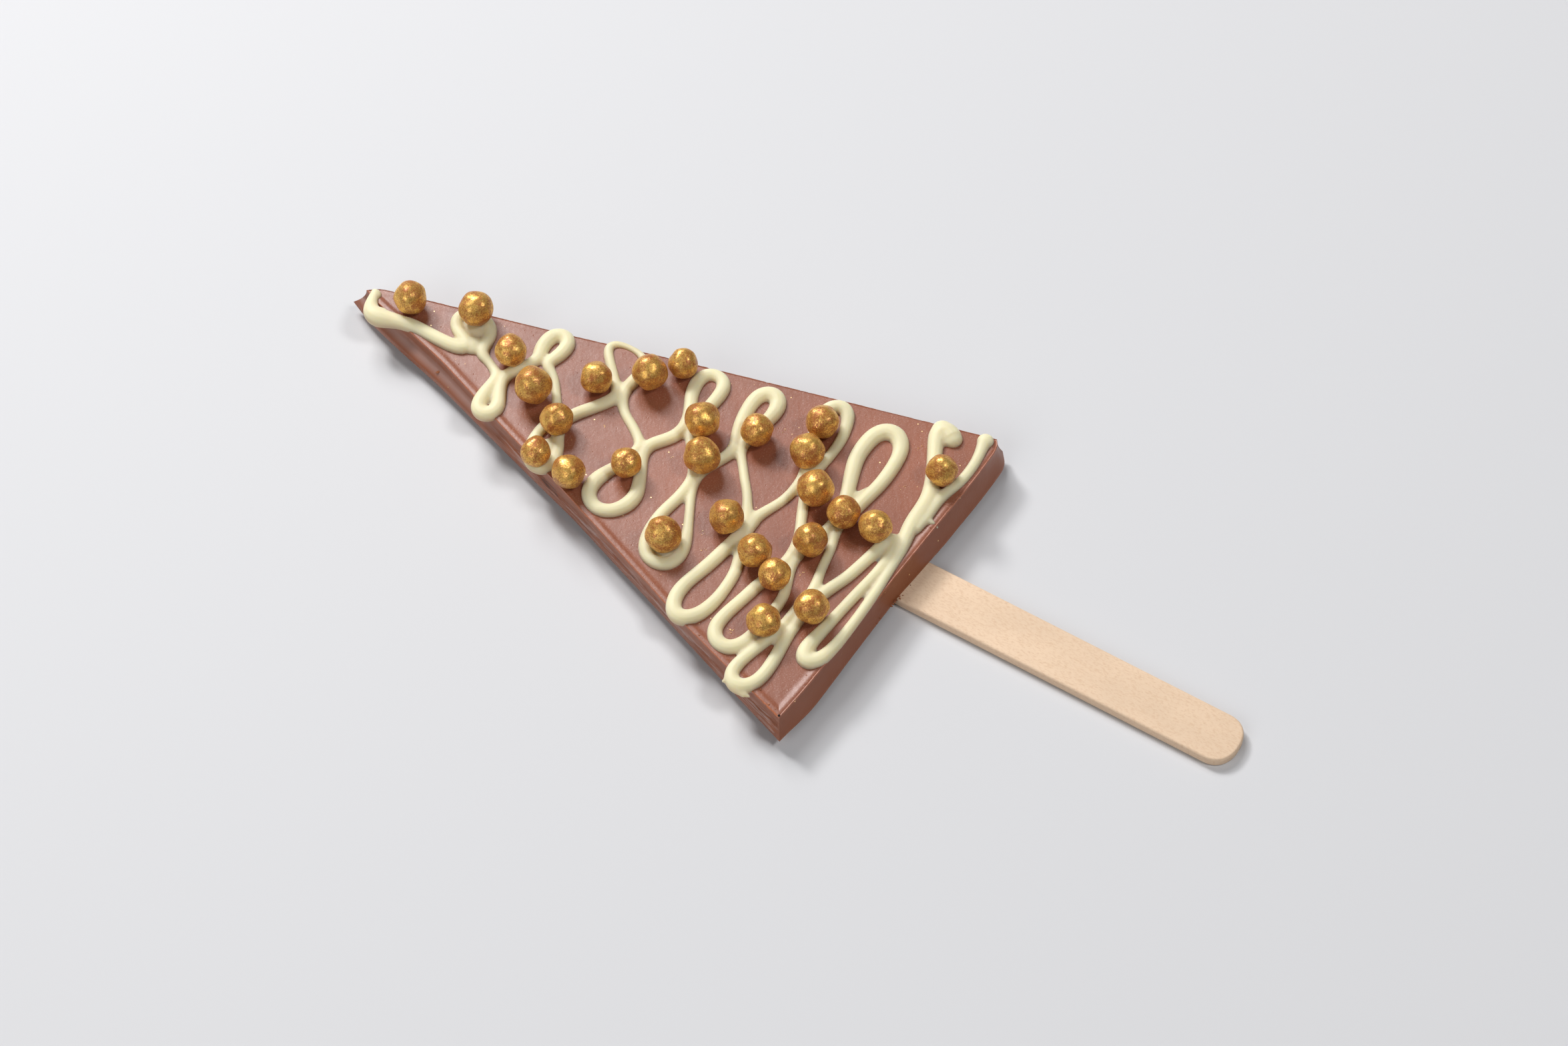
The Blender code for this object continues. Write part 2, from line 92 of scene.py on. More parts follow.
# The piped line from the apex to its thick end at the base: x, y and width
LINE = (
    (0.0, 114.2, 1.6), (-1.8, 113.7, 1.8), (-3.6, 113.0, 2.5), (-5.0, 111.7, 3.3), (-5.2, 110.4, 3.6),
    (-4.7, 109.2, 3.4), (-4.1, 107.5, 2.8), (-3.7, 105.8, 2.5), (-3.3, 104.1, 2.6), (-3.2, 102.0, 2.5),
    (-3.3, 99.5, 2.6), (-3.3, 97.0, 2.6), (-3.2, 94.5, 2.7), (-2.6, 92.3, 2.7), (-1.3, 92.1, 2.4),
    (-0.7, 93.9, 2.2), (0.0, 95.7, 2.2), (1.2, 97.1, 2.2), (2.6, 97.8, 2.2), (3.9, 97.4, 2.2),
    (4.7, 95.8, 2.3), (5.0, 93.9, 2.3), (4.6, 92.0, 2.3), (3.3, 90.6, 2.3), (1.6, 89.9, 2.3),
    (-0.4, 89.7, 2.4), (-2.1, 89.0, 2.4), (-2.5, 87.5, 1.7), (-3.2, 86.1, 1.7), (-3.9, 84.7, 1.8),
    (-4.6, 83.5, 2.4), (-6.2, 83.4, 2.4), (-8.0, 83.4, 2.5), (-10.1, 83.3, 2.6), (-12.1, 82.9, 2.7),
    (-13.2, 81.7, 2.7), (-13.1, 80.3, 2.7), (-11.9, 79.4, 2.7), (-10.1, 79.7, 2.6), (-8.5, 80.6, 2.5),
    (-6.9, 81.6, 2.4), (-5.3, 82.3, 2.3), (-3.7, 82.5, 2.4), (-2.1, 81.8, 2.1), (-0.3, 80.9, 2.1),
    (1.2, 80.1, 2.2), (2.7, 79.5, 2.4), (4.3, 80.4, 2.6), (6.2, 80.6, 2.8), (8.1, 80.5, 2.8),
    (9.3, 79.4, 2.7), (9.4, 77.9, 2.7), (8.2, 76.7, 2.7), (5.8, 76.7, 2.7), (3.7, 77.2, 2.5),
    (2.2, 77.5, 2.2), (0.7, 74.9, 1.7), (-1.2, 73.2, 1.7), (-3.5, 71.4, 1.7), (-5.5, 70.1, 1.9),
    (-8.1, 69.8, 2.1), (-10.1, 70.2, 2.1), (-11.8, 70.1, 2.1), (-14.1, 69.8, 2.2), (-16.5, 68.8, 2.2),
    (-17.8, 66.9, 2.2), (-17.8, 65.0, 2.1), (-16.8, 64.0, 2.1), (-14.8, 64.2, 2.2), (-13.0, 64.9, 2.3),
    (-11.2, 66.0, 2.3), (-9.5, 67.1, 2.3), (-7.2, 67.8, 2.3), (-4.7, 67.0, 2.4), (-2.5, 65.6, 2.4),
    (-0.5, 64.3, 2.4), (1.6, 63.1, 2.4), (3.3, 62.7, 2.4), (5.5, 64.6, 1.9), (8.0, 67.2, 1.8),
    (10.2, 69.3, 1.8), (11.3, 70.2, 1.8), (12.4, 70.3, 1.7), (13.2, 69.2, 1.3), (13.6, 67.7, 1.1),
    (13.6, 65.8, 1.1), (13.3, 63.9, 1.4), (12.1, 62.3, 1.9), (10.4, 61.9, 2.2), (8.3, 62.0, 2.3),
    (6.4, 62.1, 2.3), (4.3, 62.2, 2.4), (2.3, 61.0, 2.0), (0.4, 59.1, 1.8), (-1.2, 56.3, 1.8),
    (-3.1, 53.8, 1.9), (-4.3, 52.7, 2.3), (-6.6, 53.0, 2.2), (-9.1, 53.6, 2.2), (-11.3, 54.5, 2.3),
    (-13.6, 55.3, 2.7), (-15.6, 55.6, 2.8), (-18.0, 54.8, 2.6), (-19.7, 52.1, 2.5), (-18.6, 49.2, 2.6),
    (-15.6, 47.6, 2.8), (-13.1, 47.7, 2.6), (-10.8, 48.7, 2.3), (-8.2, 50.0, 2.2), (-6.0, 51.3, 2.2),
    (-3.6, 51.8, 2.4), (-1.7, 50.7, 2.4), (0.2, 49.3, 2.4), (2.0, 48.5, 2.4), (4.1, 48.5, 2.3),
    (6.5, 49.3, 2.2), (8.3, 50.2, 2.3), (10.1, 51.2, 2.4), (12.3, 51.9, 2.6), (14.5, 52.1, 2.6),
    (16.2, 51.3, 2.4), (16.7, 49.6, 2.3), (16.1, 47.9, 2.4), (14.5, 47.1, 2.5), (12.3, 47.0, 2.5),
    (10.1, 47.1, 2.4), (7.9, 47.5, 2.2), (5.2, 47.8, 2.1), (3.3, 47.1, 1.9), (1.5, 45.8, 1.8),
    (-0.3, 44.3, 1.8), (-2.3, 42.7, 1.9), (-4.8, 41.1, 2.2), (-7.6, 40.8, 2.2), (-10.7, 41.0, 2.2),
    (-13.8, 41.5, 2.2), (-16.6, 41.6, 2.2), (-19.3, 41.2, 2.3), (-21.6, 40.4, 2.4), (-23.3, 38.9, 2.4),
    (-23.9, 36.9, 2.5), (-23.3, 35.0, 2.5), (-21.7, 34.0, 2.5), (-19.6, 34.0, 2.4), (-17.4, 34.6, 2.2),
    (-15.0, 35.7, 1.9), (-12.0, 37.3, 1.7), (-9.1, 38.9, 1.7), (-6.3, 40.2, 1.8), (-3.6, 40.6, 2.1),
    (-1.1, 39.9, 2.1), (1.6, 38.8, 2.1), (3.9, 38.2, 2.4), (5.9, 38.9, 2.2), (8.1, 39.8, 2.3),
    (10.3, 40.5, 2.4), (12.8, 40.9, 2.6), (15.2, 41.1, 2.7), (17.2, 40.7, 2.8), (18.3, 39.3, 3.0),
    (18.1, 37.6, 3.0), (16.6, 36.6, 2.8), (14.2, 36.4, 2.7), (11.8, 36.7, 2.4), (8.8, 37.2, 2.3),
    (6.1, 37.5, 2.3), (4.2, 37.1, 2.0), (2.8, 35.6, 1.7), (0.2, 33.6, 1.7), (-2.7, 31.1, 1.7),
    (-5.5, 29.3, 1.9), (-8.0, 27.8, 2.5), (-11.2, 27.4, 2.4), (-14.9, 27.9, 2.5), (-19.7, 28.7, 2.5),
    (-23.8, 29.7, 2.4), (-26.9, 30.0, 2.5), (-29.4, 29.4, 2.6), (-31.0, 28.1, 2.8), (-31.1, 26.5, 2.8),
    (-29.5, 24.7, 2.7), (-27.1, 23.9, 2.4), (-24.6, 23.5, 2.2), (-21.2, 23.5, 2.1), (-18.2, 23.8, 2.1),
    (-15.8, 24.6, 2.0), (-13.1, 25.8, 2.0), (-10.4, 26.7, 2.2), (-7.9, 27.0, 2.4), (-5.8, 26.8, 2.1),
    (-3.5, 25.9, 1.9), (-1.2, 25.0, 1.8), (1.2, 24.5, 1.8), (3.6, 24.4, 1.9), (5.6, 24.5, 2.0),
    (7.9, 25.2, 2.1), (10.9, 26.5, 2.1), (14.4, 27.8, 2.2), (17.8, 28.8, 2.4), (20.5, 28.8, 2.6),
    (22.2, 27.8, 2.7), (22.6, 26.2, 2.7), (21.5, 24.8, 2.5), (19.5, 23.9, 2.2), (16.7, 23.1, 2.0),
    (13.6, 22.9, 1.9), (10.4, 23.0, 1.9), (7.7, 23.3, 2.0), (5.4, 23.2, 2.1), (2.8, 22.3, 2.0),
    (0.2, 21.2, 1.9), (-2.7, 19.8, 1.9), (-5.8, 18.3, 2.0), (-9.3, 17.2, 2.4), (-12.6, 17.5, 2.2),
    (-15.6, 18.2, 2.2), (-18.9, 19.1, 2.3), (-21.3, 19.5, 2.2), (-24.7, 20.2, 2.3), (-27.3, 20.6, 2.4),
    (-29.7, 20.6, 2.5), (-31.4, 19.6, 2.7), (-32.3, 18.0, 2.8), (-32.0, 16.2, 2.7), (-30.1, 14.8, 2.5),
    (-27.6, 14.3, 2.2), (-24.1, 13.9, 2.0), (-20.8, 13.8, 2.0), (-17.9, 14.0, 1.9), (-15.5, 14.8, 1.9),
    (-13.2, 15.8, 2.0), (-10.8, 16.5, 2.2), (-8.1, 16.5, 2.1), (-5.1, 15.7, 2.1), (-1.8, 14.8, 2.1),
    (0.8, 14.6, 2.2), (3.2, 15.0, 2.2), (5.8, 15.7, 2.3), (8.6, 16.7, 2.5), (11.3, 17.7, 2.7),
    (14.1, 18.6, 2.8), (16.9, 18.8, 2.9), (19.6, 18.6, 3.0), (21.6, 17.7, 3.2), (22.5, 16.1, 3.3),
    (22.0, 14.3, 3.1), (20.5, 13.0, 2.8), (18.2, 12.3, 2.6), (15.0, 12.0, 2.5), (11.8, 12.0, 2.5),
    (8.6, 12.4, 2.4), (5.8, 12.8, 2.4), (2.8, 13.2, 2.3), (0.4, 13.6, 2.1), (-1.9, 13.3, 1.8),
    (-4.3, 12.4, 1.7), (-7.1, 11.8, 1.7), (-9.9, 11.3, 1.7), (-12.3, 10.6, 1.9), (-14.6, 10.1, 2.2),
    (-17.1, 10.3, 2.1), (-19.1, 10.5, 2.1), (-22.1, 10.6, 2.1), (-25.1, 11.0, 2.0), (-28.2, 11.9, 2.1),
    (-31.6, 12.8, 2.1), (-34.8, 13.4, 2.3), (-37.0, 12.7, 2.5), (-37.8, 11.1, 2.7), (-36.9, 9.5, 2.6),
    (-35.3, 8.7, 2.4), (-33.2, 8.3, 2.3), (-30.0, 8.4, 2.3), (-26.8, 8.8, 2.2), (-23.6, 9.1, 2.1),
    (-20.6, 9.1, 2.1), (-17.6, 9.1, 2.1), (-14.6, 8.6, 2.2), (-11.6, 7.7, 2.2), (-8.8, 6.7, 2.2),
    (-6.0, 6.1, 2.2), (-2.8, 5.5, 2.2), (0.1, 5.0, 2.3), (2.9, 4.2, 2.4), (2.0, 3.3, 2.1),
    (-1.6, 2.6, 2.0), (-5.5, 2.8, 1.9), (-9.5, 3.3, 1.9), (-15.6, 4.0, 2.0), (-19.6, 4.4, 2.2),
    (-23.7, 4.9, 2.6), (-26.2, 4.8, 2.8), (-27.5, 3.6, 2.9), (-26.5, 2.1, 2.8), (-24.5, 1.5, 2.4),
    (-21.2, 1.0, 2.0), (-16.3, 0.8, 1.8), (-11.5, 0.8, 1.8), (-7.5, 0.9, 1.8), (-1.9, 1.3, 1.9),
    (1.6, 1.7, 2.2), (4.2, 2.4, 2.7), (7.2, 2.9, 2.8), (10.2, 2.9, 2.9), (13.2, 3.2, 2.8),
    (16.0, 4.1, 2.7), (19.0, 5.5, 2.6), (21.8, 6.9, 2.6), (24.1, 8.1, 2.8), (26.0, 8.8, 3.3),
    (27.5, 8.7, 4.0), (27.7, 7.2, 3.7), (26.9, 6.2, 3.7),
)

# The last stretch along the base, from the crossing to its round end
TAIL = (
    (6.4, 1.8, 2.2), (10.3, 1.5, 2.4), (13.3, 1.6, 2.3), (16.3, 1.1, 2.2), (18.7, 0.3, 2.1),
    (21.9, -0.0, 2.1), (25.1, 0.1, 2.1), (27.7, 0.6, 2.3), (29.2, 0.9, 2.7),
)

# Radii of the sugar pearls, in the order of their nodes
PEARL_RADII = (
    3.1, 3.3, 3.0, 3.5, 3.0, 2.8, 3.1, 3.0, 3.3, 2.8, 2.8, 3.3, 3.4, 3.3, 3.0, 3.2, 3.1, 2.9, 3.0, 3.1, 3.1,
    3.0, 3.0, 3.4, 3.2, 3.1, 2.9,
)


def on_part(x, y, z=0.0):
    """A place given in the tables' millimetres, in the part's metres."""
    return Vector((AXIS_X + x * MM, FOOT_Y + y * MM, z * MM))


# Settings


class SlabSettings(PropertyGroup):
    """Sizes and colours of the milk chocolate slab."""

    outline_step: FloatProperty(
        name="Outline step", description="Distance between points round the slab",
        default=0.5 * MM, min=0.2 * MM, unit="LENGTH",
    )
    lip_width: FloatProperty(
        name="Lip width", description="Width of the raised edge round the top",
        default=1.7 * MM, min=0.0, unit="LENGTH",
    )
    lip_height: FloatProperty(
        name="Lip height", description="Height of the raised edge over the top",
        default=0.19 * MM, min=0.0, unit="LENGTH",
    )
    colour: FloatVectorProperty(
        name="Chocolate", description="Colour of the milk chocolate",
        default=(0.28, 0.090, 0.045), subtype="COLOR", size=3, min=0.0, max=1.0,
    )
    side_colour: FloatVectorProperty(
        name="Cut sides", description="Colour of the cut sides",
        default=(0.29, 0.078, 0.023), subtype="COLOR", size=3, min=0.0, max=1.0,
    )
    edge_colour: FloatVectorProperty(
        name="Broken edge", description="Colour of the crumbly upper edge",
        default=(0.52, 0.17, 0.075), subtype="COLOR", size=3, min=0.0, max=1.0,
    )


class PipingSettings(PropertyGroup):
    """Sizes and colours of the piped line."""

    fullness: FloatProperty(
        name="Fullness", description="Width of the line against the width it was laid with",
        default=1.10, min=0.5, max=1.5,
    )
    flatness: FloatProperty(
        name="Flatness", description="Height of the line against its width", default=0.95, min=0.3, max=1.2,
    )
    fillet: FloatProperty(
        name="Fillet", description="Rounding where the line runs over itself",
        default=0.13 * MM, min=0.0, unit="LENGTH",
    )
    cell: FloatProperty(
        name="Cell", description="Size of the mesh cells of the merged line",
        default=0.18 * MM, min=0.12 * MM, unit="LENGTH",
    )
    colour: FloatVectorProperty(
        name="White chocolate", description="Colour of the piped line",
        default=(0.81, 0.745, 0.50), subtype="COLOR", size=3, min=0.0, max=1.0,
    )
    thin_colour: FloatVectorProperty(
        name="Thin edge", description="Colour where the line thins out over the slab",
        default=(0.60, 0.47, 0.30), subtype="COLOR", size=3, min=0.0, max=1.0,
    )


class PearlSettings(PropertyGroup):
    """Shape and colours of the sugar pearls."""

    unevenness: FloatProperty(
        name="Unevenness", description="How far a pearl departs from a ball, against its radius",
        default=0.26, min=0.0, max=0.6,
    )
    settle: FloatProperty(
        name="Settle", description="How far the pearls have sunk since they were dropped",
        default=0.3 * MM, min=0.0, unit="LENGTH",
    )
    seed: IntProperty(
        name="Seed", description="Chooses the turns of the pearls", default=12, min=0,
    )
    gold: FloatVectorProperty(
        name="Gold", description="Colour of the lustre dust",
        default=(1.0, 0.52, 0.10), subtype="COLOR", size=3, min=0.0, max=1.0,
    )
    worn: FloatVectorProperty(
        name="Worn", description="Colour where the dust has rubbed off",
        default=(0.44, 0.145, 0.032), subtype="COLOR", size=3, min=0.0, max=1.0,
    )


class StickSettings(PropertyGroup):
    """Sizes and colours of the stick."""

    edge_round: FloatProperty(
        name="Edge round", description="Rounding of the stick's long edges",
        default=0.45 * MM, min=0.0, unit="LENGTH",
    )
    colour: FloatVectorProperty(
        name="Birch", description="Colour of the wood",
        default=(0.82, 0.61, 0.43), subtype="COLOR", size=3, min=0.0, max=1.0,
    )
    fleck_colour: FloatVectorProperty(
        name="Flecks", description="Colour of the short fibres in the wood",
        default=(0.70, 0.47, 0.30), subtype="COLOR", size=3, min=0.0, max=1.0,
    )


class CrumbSettings(PropertyGroup):
    """Sizes of the crumbs and gold flakes."""

    crumb_size: FloatProperty(
        name="Crumb size", description="Size of the crumbs against the usual", default=1.0, min=0.1,
    )
    flake_size: FloatProperty(
        name="Flake size", description="Size of the flakes against the usual", default=1.0, min=0.1,
    )
    seed: IntProperty(
        name="Seed", description="Chooses the shapes of the crumbs", default=5, min=0,
    )


class StageSettings(PropertyGroup):
    """Floor, lights and camera."""

    floor_colour: FloatVectorProperty(
        name="Floor", description="Colour of the floor",
        default=(0.68, 0.68, 0.695), subtype="COLOR", size=3, min=0.0, max=1.0,
    )
    key_power: FloatProperty(
        name="Key light", description="Power of the key light in watts", default=7.2, min=0.0,
    )
    panel_power: FloatProperty(
        name="Panel", description="Power of the large soft panel in watts", default=9.4, min=0.0,
    )
    fill_power: FloatProperty(
        name="Fill light", description="Power of the fill light in watts", default=4.6, min=0.0,
    )
    side_power: FloatProperty(
        name="Side light", description="Power of the light from the near side in watts", default=4.8, min=0.0,
    )
    surround: FloatProperty(
        name="Surround", description="Strength of the light all round", default=0.08, min=0.0,
    )
    camera_distance: FloatProperty(
        name="Camera distance", description="From the camera to the middle of the part",
        default=585.07 * MM, min=0.1, unit="LENGTH",
    )
    camera_elevation: FloatProperty(
        name="Camera elevation", description="Height of the camera over the floor, as an angle",
        default=math.radians(55.0), subtype="ANGLE",
    )


class LollipopSettings(PropertyGroup):
    """All settings of the lollipop."""

    slab: PointerProperty(type=SlabSettings)
    piping: PointerProperty(type=PipingSettings)
    pearls: PointerProperty(type=PearlSettings)
    stick: PointerProperty(type=StickSettings)
    crumbs: PointerProperty(type=CrumbSettings)
    stage: PointerProperty(type=StageSettings)


# Helpers for making pieces


def deselect_all():
    bpy.ops.object.select_all(action="DESELECT")


def make_active(obj):
    deselect_all()
    obj.select_set(True)
    bpy.context.view_layer.objects.active = obj


def apply_place(obj):
    make_active(obj)
    bpy.ops.object.transform_apply(location=True, rotation=True, scale=True)


def apply_modifier(obj, name, kind, **values):
    modifier = obj.modifiers.new(name, kind)
    for key, value in values.items():
        setattr(modifier, key, value)
    make_active(obj)
    bpy.ops.object.modifier_apply(modifier=modifier.name)


def join(objects):
    """Make one object of several."""
    make_active(objects[0])
    for obj in objects:
        obj.select_set(True)
    bpy.ops.object.join()
    return bpy.context.active_object


def finish_piece(obj, name, nodes, material):
    """Name a finished piece, give it its material, hang it under the root and hide the nodes that it stands
    for.
    """
    apply_place(obj)
    obj.name = name
    obj.data.name = name
    obj.data.materials.clear()
    obj.data.materials.append(material)
    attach(obj, "root")
    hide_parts(*nodes)
    return obj


def soft_noise(x, y, seed):
    """Smooth noise from -1 to 1."""
    return noise.noise(Vector((x, y, seed * 7.31)))


def smooth_step(low, high, value):
    share = min(1.0, max(0.0, (value - low) / (high - low)))
    return share * share * (3 - 2 * share)


# Helpers for making materials


class Surface:
    """A material under construction, with short names for the nodes that it uses."""

    def __init__(self, name):
        self.material = bpy.data.materials.new(name)
        self.material.use_nodes = True
        self.nodes = self.material.node_tree.nodes
        self.links = self.material.node_tree.links
        self.shader = self.nodes["Principled BSDF"]

    def feed(self, socket, value):
        """Give a socket the output of another node, or a value of its own."""
        if isinstance(value, bpy.types.NodeSocket):
            self.links.new(value, socket)
        elif socket.type == "RGBA":
            socket.default_value = (*value, 1.0)
        else:
            socket.default_value = value

    def set(self, **values):
        """Feed the shader's sockets, by their names."""
        for key, value in values.items():
            self.feed(self.shader.inputs[key.replace("_", " ")], value)

    def add(self, kind, **values):
        """A new node with its sockets fed, by their names."""
        node = self.nodes.new(f"ShaderNode{kind}")
        for key, value in values.items():
            self.feed(node.inputs[key.replace("_", " ")], value)
        return node

    def coordinates(self, turn=0.0, scale=(1.0, 1.0, 1.0)):
        """Object coordinates along axes turned about Z by an angle, and scaled along those axes."""
        place = self.add("TexCoord").outputs["Object"]
        stretch = [1 / value for value in scale]
        mapping = self.add("Mapping", Vector=place, Rotation=(0.0, 0.0, turn), Scale=stretch)
        mapping.vector_type = "TEXTURE"
        return mapping.outputs["Vector"]

    def height(self):
        """Height over the floor, in metres."""
        place = self.add("TexCoord").outputs["Object"]
        return self.add("SeparateXYZ", Vector=place).outputs["Z"]

    def noise(self, vector, scale, detail=2.0, roughness=0.5):
        node = self.add("TexNoise", Vector=vector, Scale=scale, Detail=detail, Roughness=roughness)
        return node.outputs["Fac"]

    def cells(self, vector, scale, output="Distance"):
        return self.add("TexVoronoi", Vector=vector, Scale=scale).outputs[output]

    def cell_values(self, vector, scale):
        """Three random values for each cell, named Red, Green and Blue."""
        return self.add("SeparateColor", Color=self.cells(vector, scale, "Color")).outputs

    def attribute(self, name):
        node = self.add("Attribute")
        node.attribute_name = name
        return node.outputs["Fac"]

    def remap(self, value, low, high, to_low=0.0, to_high=1.0):
        node = self.add("MapRange", Value=value, From_Min=low, From_Max=high, To_Min=to_low, To_Max=to_high)
        return node.outputs["Result"]

    def math(self, operation, first, second):
        node = self.add("Math")
        node.operation = operation
        self.feed(node.inputs[0], first)
        self.feed(node.inputs[1], second)
        return node.outputs["Value"]

    def times(self, first, *others):
        for other in others:
            first = self.math("MULTIPLY", first, other)
        return first

    def mix(self, share, first, second):
        """The first colour where the share is 0, the second one where it is 1."""
        node = self.add("Mix")
        node.data_type = "RGBA"
        for index, value in ((0, share), (6, first), (7, second)):
            self.feed(node.inputs[index], value)
        return node.outputs[2]

    def bump(self, height, distance, strength, below=None):
        node = self.add("Bump", Height=height, Distance=distance, Strength=strength)
        if below is not None:
            self.feed(node.inputs["Normal"], below)
        return node.outputs["Normal"]


def shade_of(colour, factor):
    return tuple(min(1.0, channel * factor) for channel in colour)


# Slab


# Smoothing passes round the upper edge, which leave its three corners alone
OUTLINE_SMOOTHING = 10

# Sharp corners are mitred as if they had at least this cosine between their sides
MITRE_LIMIT = -0.6

# How far a ring can move inwards where no other side is near
OPEN_ROOM = 40.0

# Rings under the slab: how far inside the foot of the cut, and how far over the underside
UNDER_RINGS = ((2.6, 0.0), (0.9, 0.0), (0.28, 0.02), (0.06, 0.12))

# The cut side starts this far over the underside, and rises in this many steps
FOOT_RISE = 0.35
SIDE_STEPS = 16

# The flat top lies this far below the upper edge
TOP_SINK = 0.15

# Rings of the lip: how far inside the upper edge
LIP_DEPTHS = (0.24, 0.4, 0.6, 0.8, 1.0, 1.25, 1.55, 1.9, 2.4, 3.0)

# The back cut has a lower lip and a plainer edge than the other ones
BACK_LIP = 0.3
BACK_RIDGE = 0.35

# The near cut is torn in layers below the first of these places on the way up to the apex, and
# smooth above the second one
LAYERED_END = 66.0
SMOOTH_START = 84.0

# The edge has no bites from here up to the apex
BITES_END = 108.0

# Ripples of the base and back cuts: height, waves along the cut and up it, and seed
RIPPLES = {
    "base": ((0.03, 0.2, 3.0, 8), (0.05, 0.07, 1.2, 9)),
    "back": ((0.08, 0.2, 6.0, 10), (0.05, 0.06, 1.0, 11)),
}

# Directions, seen from above, of the near cut and of the smears on the top
NEAR_CUT_TURN = math.radians(71.4)
SMEAR_TURN = math.radians(38.0)

# A burst bubble in the near corner of the base: its place, and the radii of its hole and rim
BUBBLE = (-38.95, 1.75, SLAB_TOP)
BUBBLE_HOLE = 0.20 * MM
BUBBLE_RIM = 0.27 * MM
# Painted shade: the bubble's hole is painted near-black, as the slab has no hole there
BUBBLE_SHADE_COLOUR = (0.012, 0.004, 0.002)

# Cells that carry the gold specks and the pits, and the colours of the marks on the chocolate, among them
# painted shade in the cracks and painted sheen on the near cut
SPECK_CELLS = 1000.0
SPECK_COLOUR = (1.0, 0.72, 0.36)
PIT_CELLS = 760.0
BLOOM_COLOUR = (0.56, 0.33, 0.27)
# Painted shade: near-black in the cracks of the torn near cut, where the crevices fall into shade
CRACK_SHADE_COLOUR = (0.05, 0.022, 0.016)
# Painted sheen: grey-lilac on the streaks of the torn layers of the near cut, a painted reflection of the
# bright floor
LAYER_SHEEN_COLOUR = (0.50, 0.35, 0.31)
# Painted sheen: a pale band across the smooth part of the near cut, a painted reflection
SHEEN_COLOUR = (0.52, 0.35, 0.31)


def inward_mitres(points):
    """Inward mitre of each point of a closed counterclockwise outline."""
    count = len(points)
    mitres = []
    for index in range(count):
        ax, ay = points[index - 1]
        bx, by = points[index]
        cx, cy = points[(index + 1) % count]
        first = Vector((ay - by, bx - ax)).normalized()
        second = Vector((by - cy, cx - bx)).normalized()
        mitres.append((first + second) / (1 + max(MITRE_LIMIT, first.dot(second))))
    return mitres


def slab_outline(step):
    """Places round the slab's upper edge, with the flare of the cut, its kind and the run so far."""
    count = len(SLAB_OUTLINE)
    corners = (0, BASE_CUT_END, BACK_CUT_END)
    places = []
    run = 0.0
    for index, (x, y, flare) in enumerate(SLAB_OUTLINE):
        nx, ny, next_flare = SLAB_OUTLINE[(index + 1) % count]
        kind = "base" if index < BASE_CUT_END else "back" if index < BACK_CUT_END else "near"
        length = math.hypot(nx - x, ny - y)
        steps = max(1, round(length / step))
        for part in range(steps):
            share = part / steps
            places.append(SimpleNamespace(
                x=x + (nx - x) * share,
                y=y + (ny - y) * share,
                flare=flare + (next_flare - flare) * share,
                kind=kind,
                run=run,
                corner=part == 0 and index in corners,
            ))
            run += length / steps
    for _ in range(OUTLINE_SMOOTHING):
        old = [(place.x, place.y, place.flare) for place in places]
        for index, place in enumerate(places):
            if not place.corner:
                around = zip(old[index - 1], old[index], old[(index + 1) % len(places)])
                place.x, place.y, place.flare = ((a + 2 * b + c) / 4 for a, b, c in around)
    return places


def room_inside(points, mitres):
    """How far each point of the outline can move inwards before it meets the other side."""
    rooms = []
    for point, mitre in zip(points, mitres):
        inward = mitre.normalized()
        room = OPEN_ROOM
        for other in points:
            dx = other[0] - point[0]
            dy = other[1] - point[1]
            ahead = dx * inward.x + dy * inward.y
            if ahead > 0.02:
                room = min(room, (dx * dx + dy * dy) / (2 * ahead))
        rooms.append(room)
    return rooms


def lip_height_at(depth, width, height):
    """Height of the top's surface at a distance from its edge, against the flat top."""
    rise = smooth_step(0.0, 0.28 * width, depth)
    fall = 1 - smooth_step(0.45 * width, width, depth)
    trough = math.exp(-((depth - 1.25 * width) / (0.35 * width)) ** 2)
    return height * (0.35 + 0.65 * rise) * fall - 0.05 * height * trough


def layered(place):
    """How far the near cut is torn in layers: not at all by the apex, fully towards the base."""
    return smooth_step(SMOOTH_START, LAYERED_END, place.y)


def near_cut(place, share):
    """How far the near cut stands out: a slope, two torn layers with a groove between, and streaks."""
    run = place.run
    step_at = 0.5 + 0.10 * soft_noise(run * 0.07, 0.0, 3) + 0.05 * soft_noise(run * 0.4, 0.0, 4)
    shelf = 0.12 * (1 - smooth_step(step_at - 0.05, step_at + 0.05, share))
    groove = 0.10 * math.exp(-(((share - step_at - 0.04) / 0.05) ** 2))
    streaks = 0.12 * soft_noise(run * 0.16, share * 9.0, 5) + 0.06 * soft_noise(run * 0.5, share * 20.0, 6)
    sway = 0.20 * soft_noise(run * 0.05, 0.0, 7)
    away = smooth_step(0.0, 0.12, share)
    slope = 1 - smooth_step(0.14, 0.62, share)
    return place.flare * slope + (shelf - groove + streaks) * away * layered(place) + sway * (1 - share)


def cut_reach(place, share):
    """How far a cut face stands out at a share of the way from its foot to the ridge."""
    if place.corner:
        return place.flare * (1 - share) ** 1.7
    if place.kind == "near":
        return near_cut(place, share)
    return place.flare * (1 - share) ** 2.0 + sum(
        height * soft_noise(place.run * along, share * up, seed)
        for height, along, up, seed in RIPPLES[place.kind]
    )


def chip(place):
    """How deep the upper edge has crumbled away."""
    crumble = 0.07 * soft_noise(place.run * 1.9, 0.0, 12) + 0.05 * soft_noise(place.run * 4.1, 0.0, 13)
    bite = max(0.0, soft_noise(place.run * 0.8, 0.0, 14) - 0.42) if place.y < BITES_END else 0.0
    return crumble + 0.4 * bite


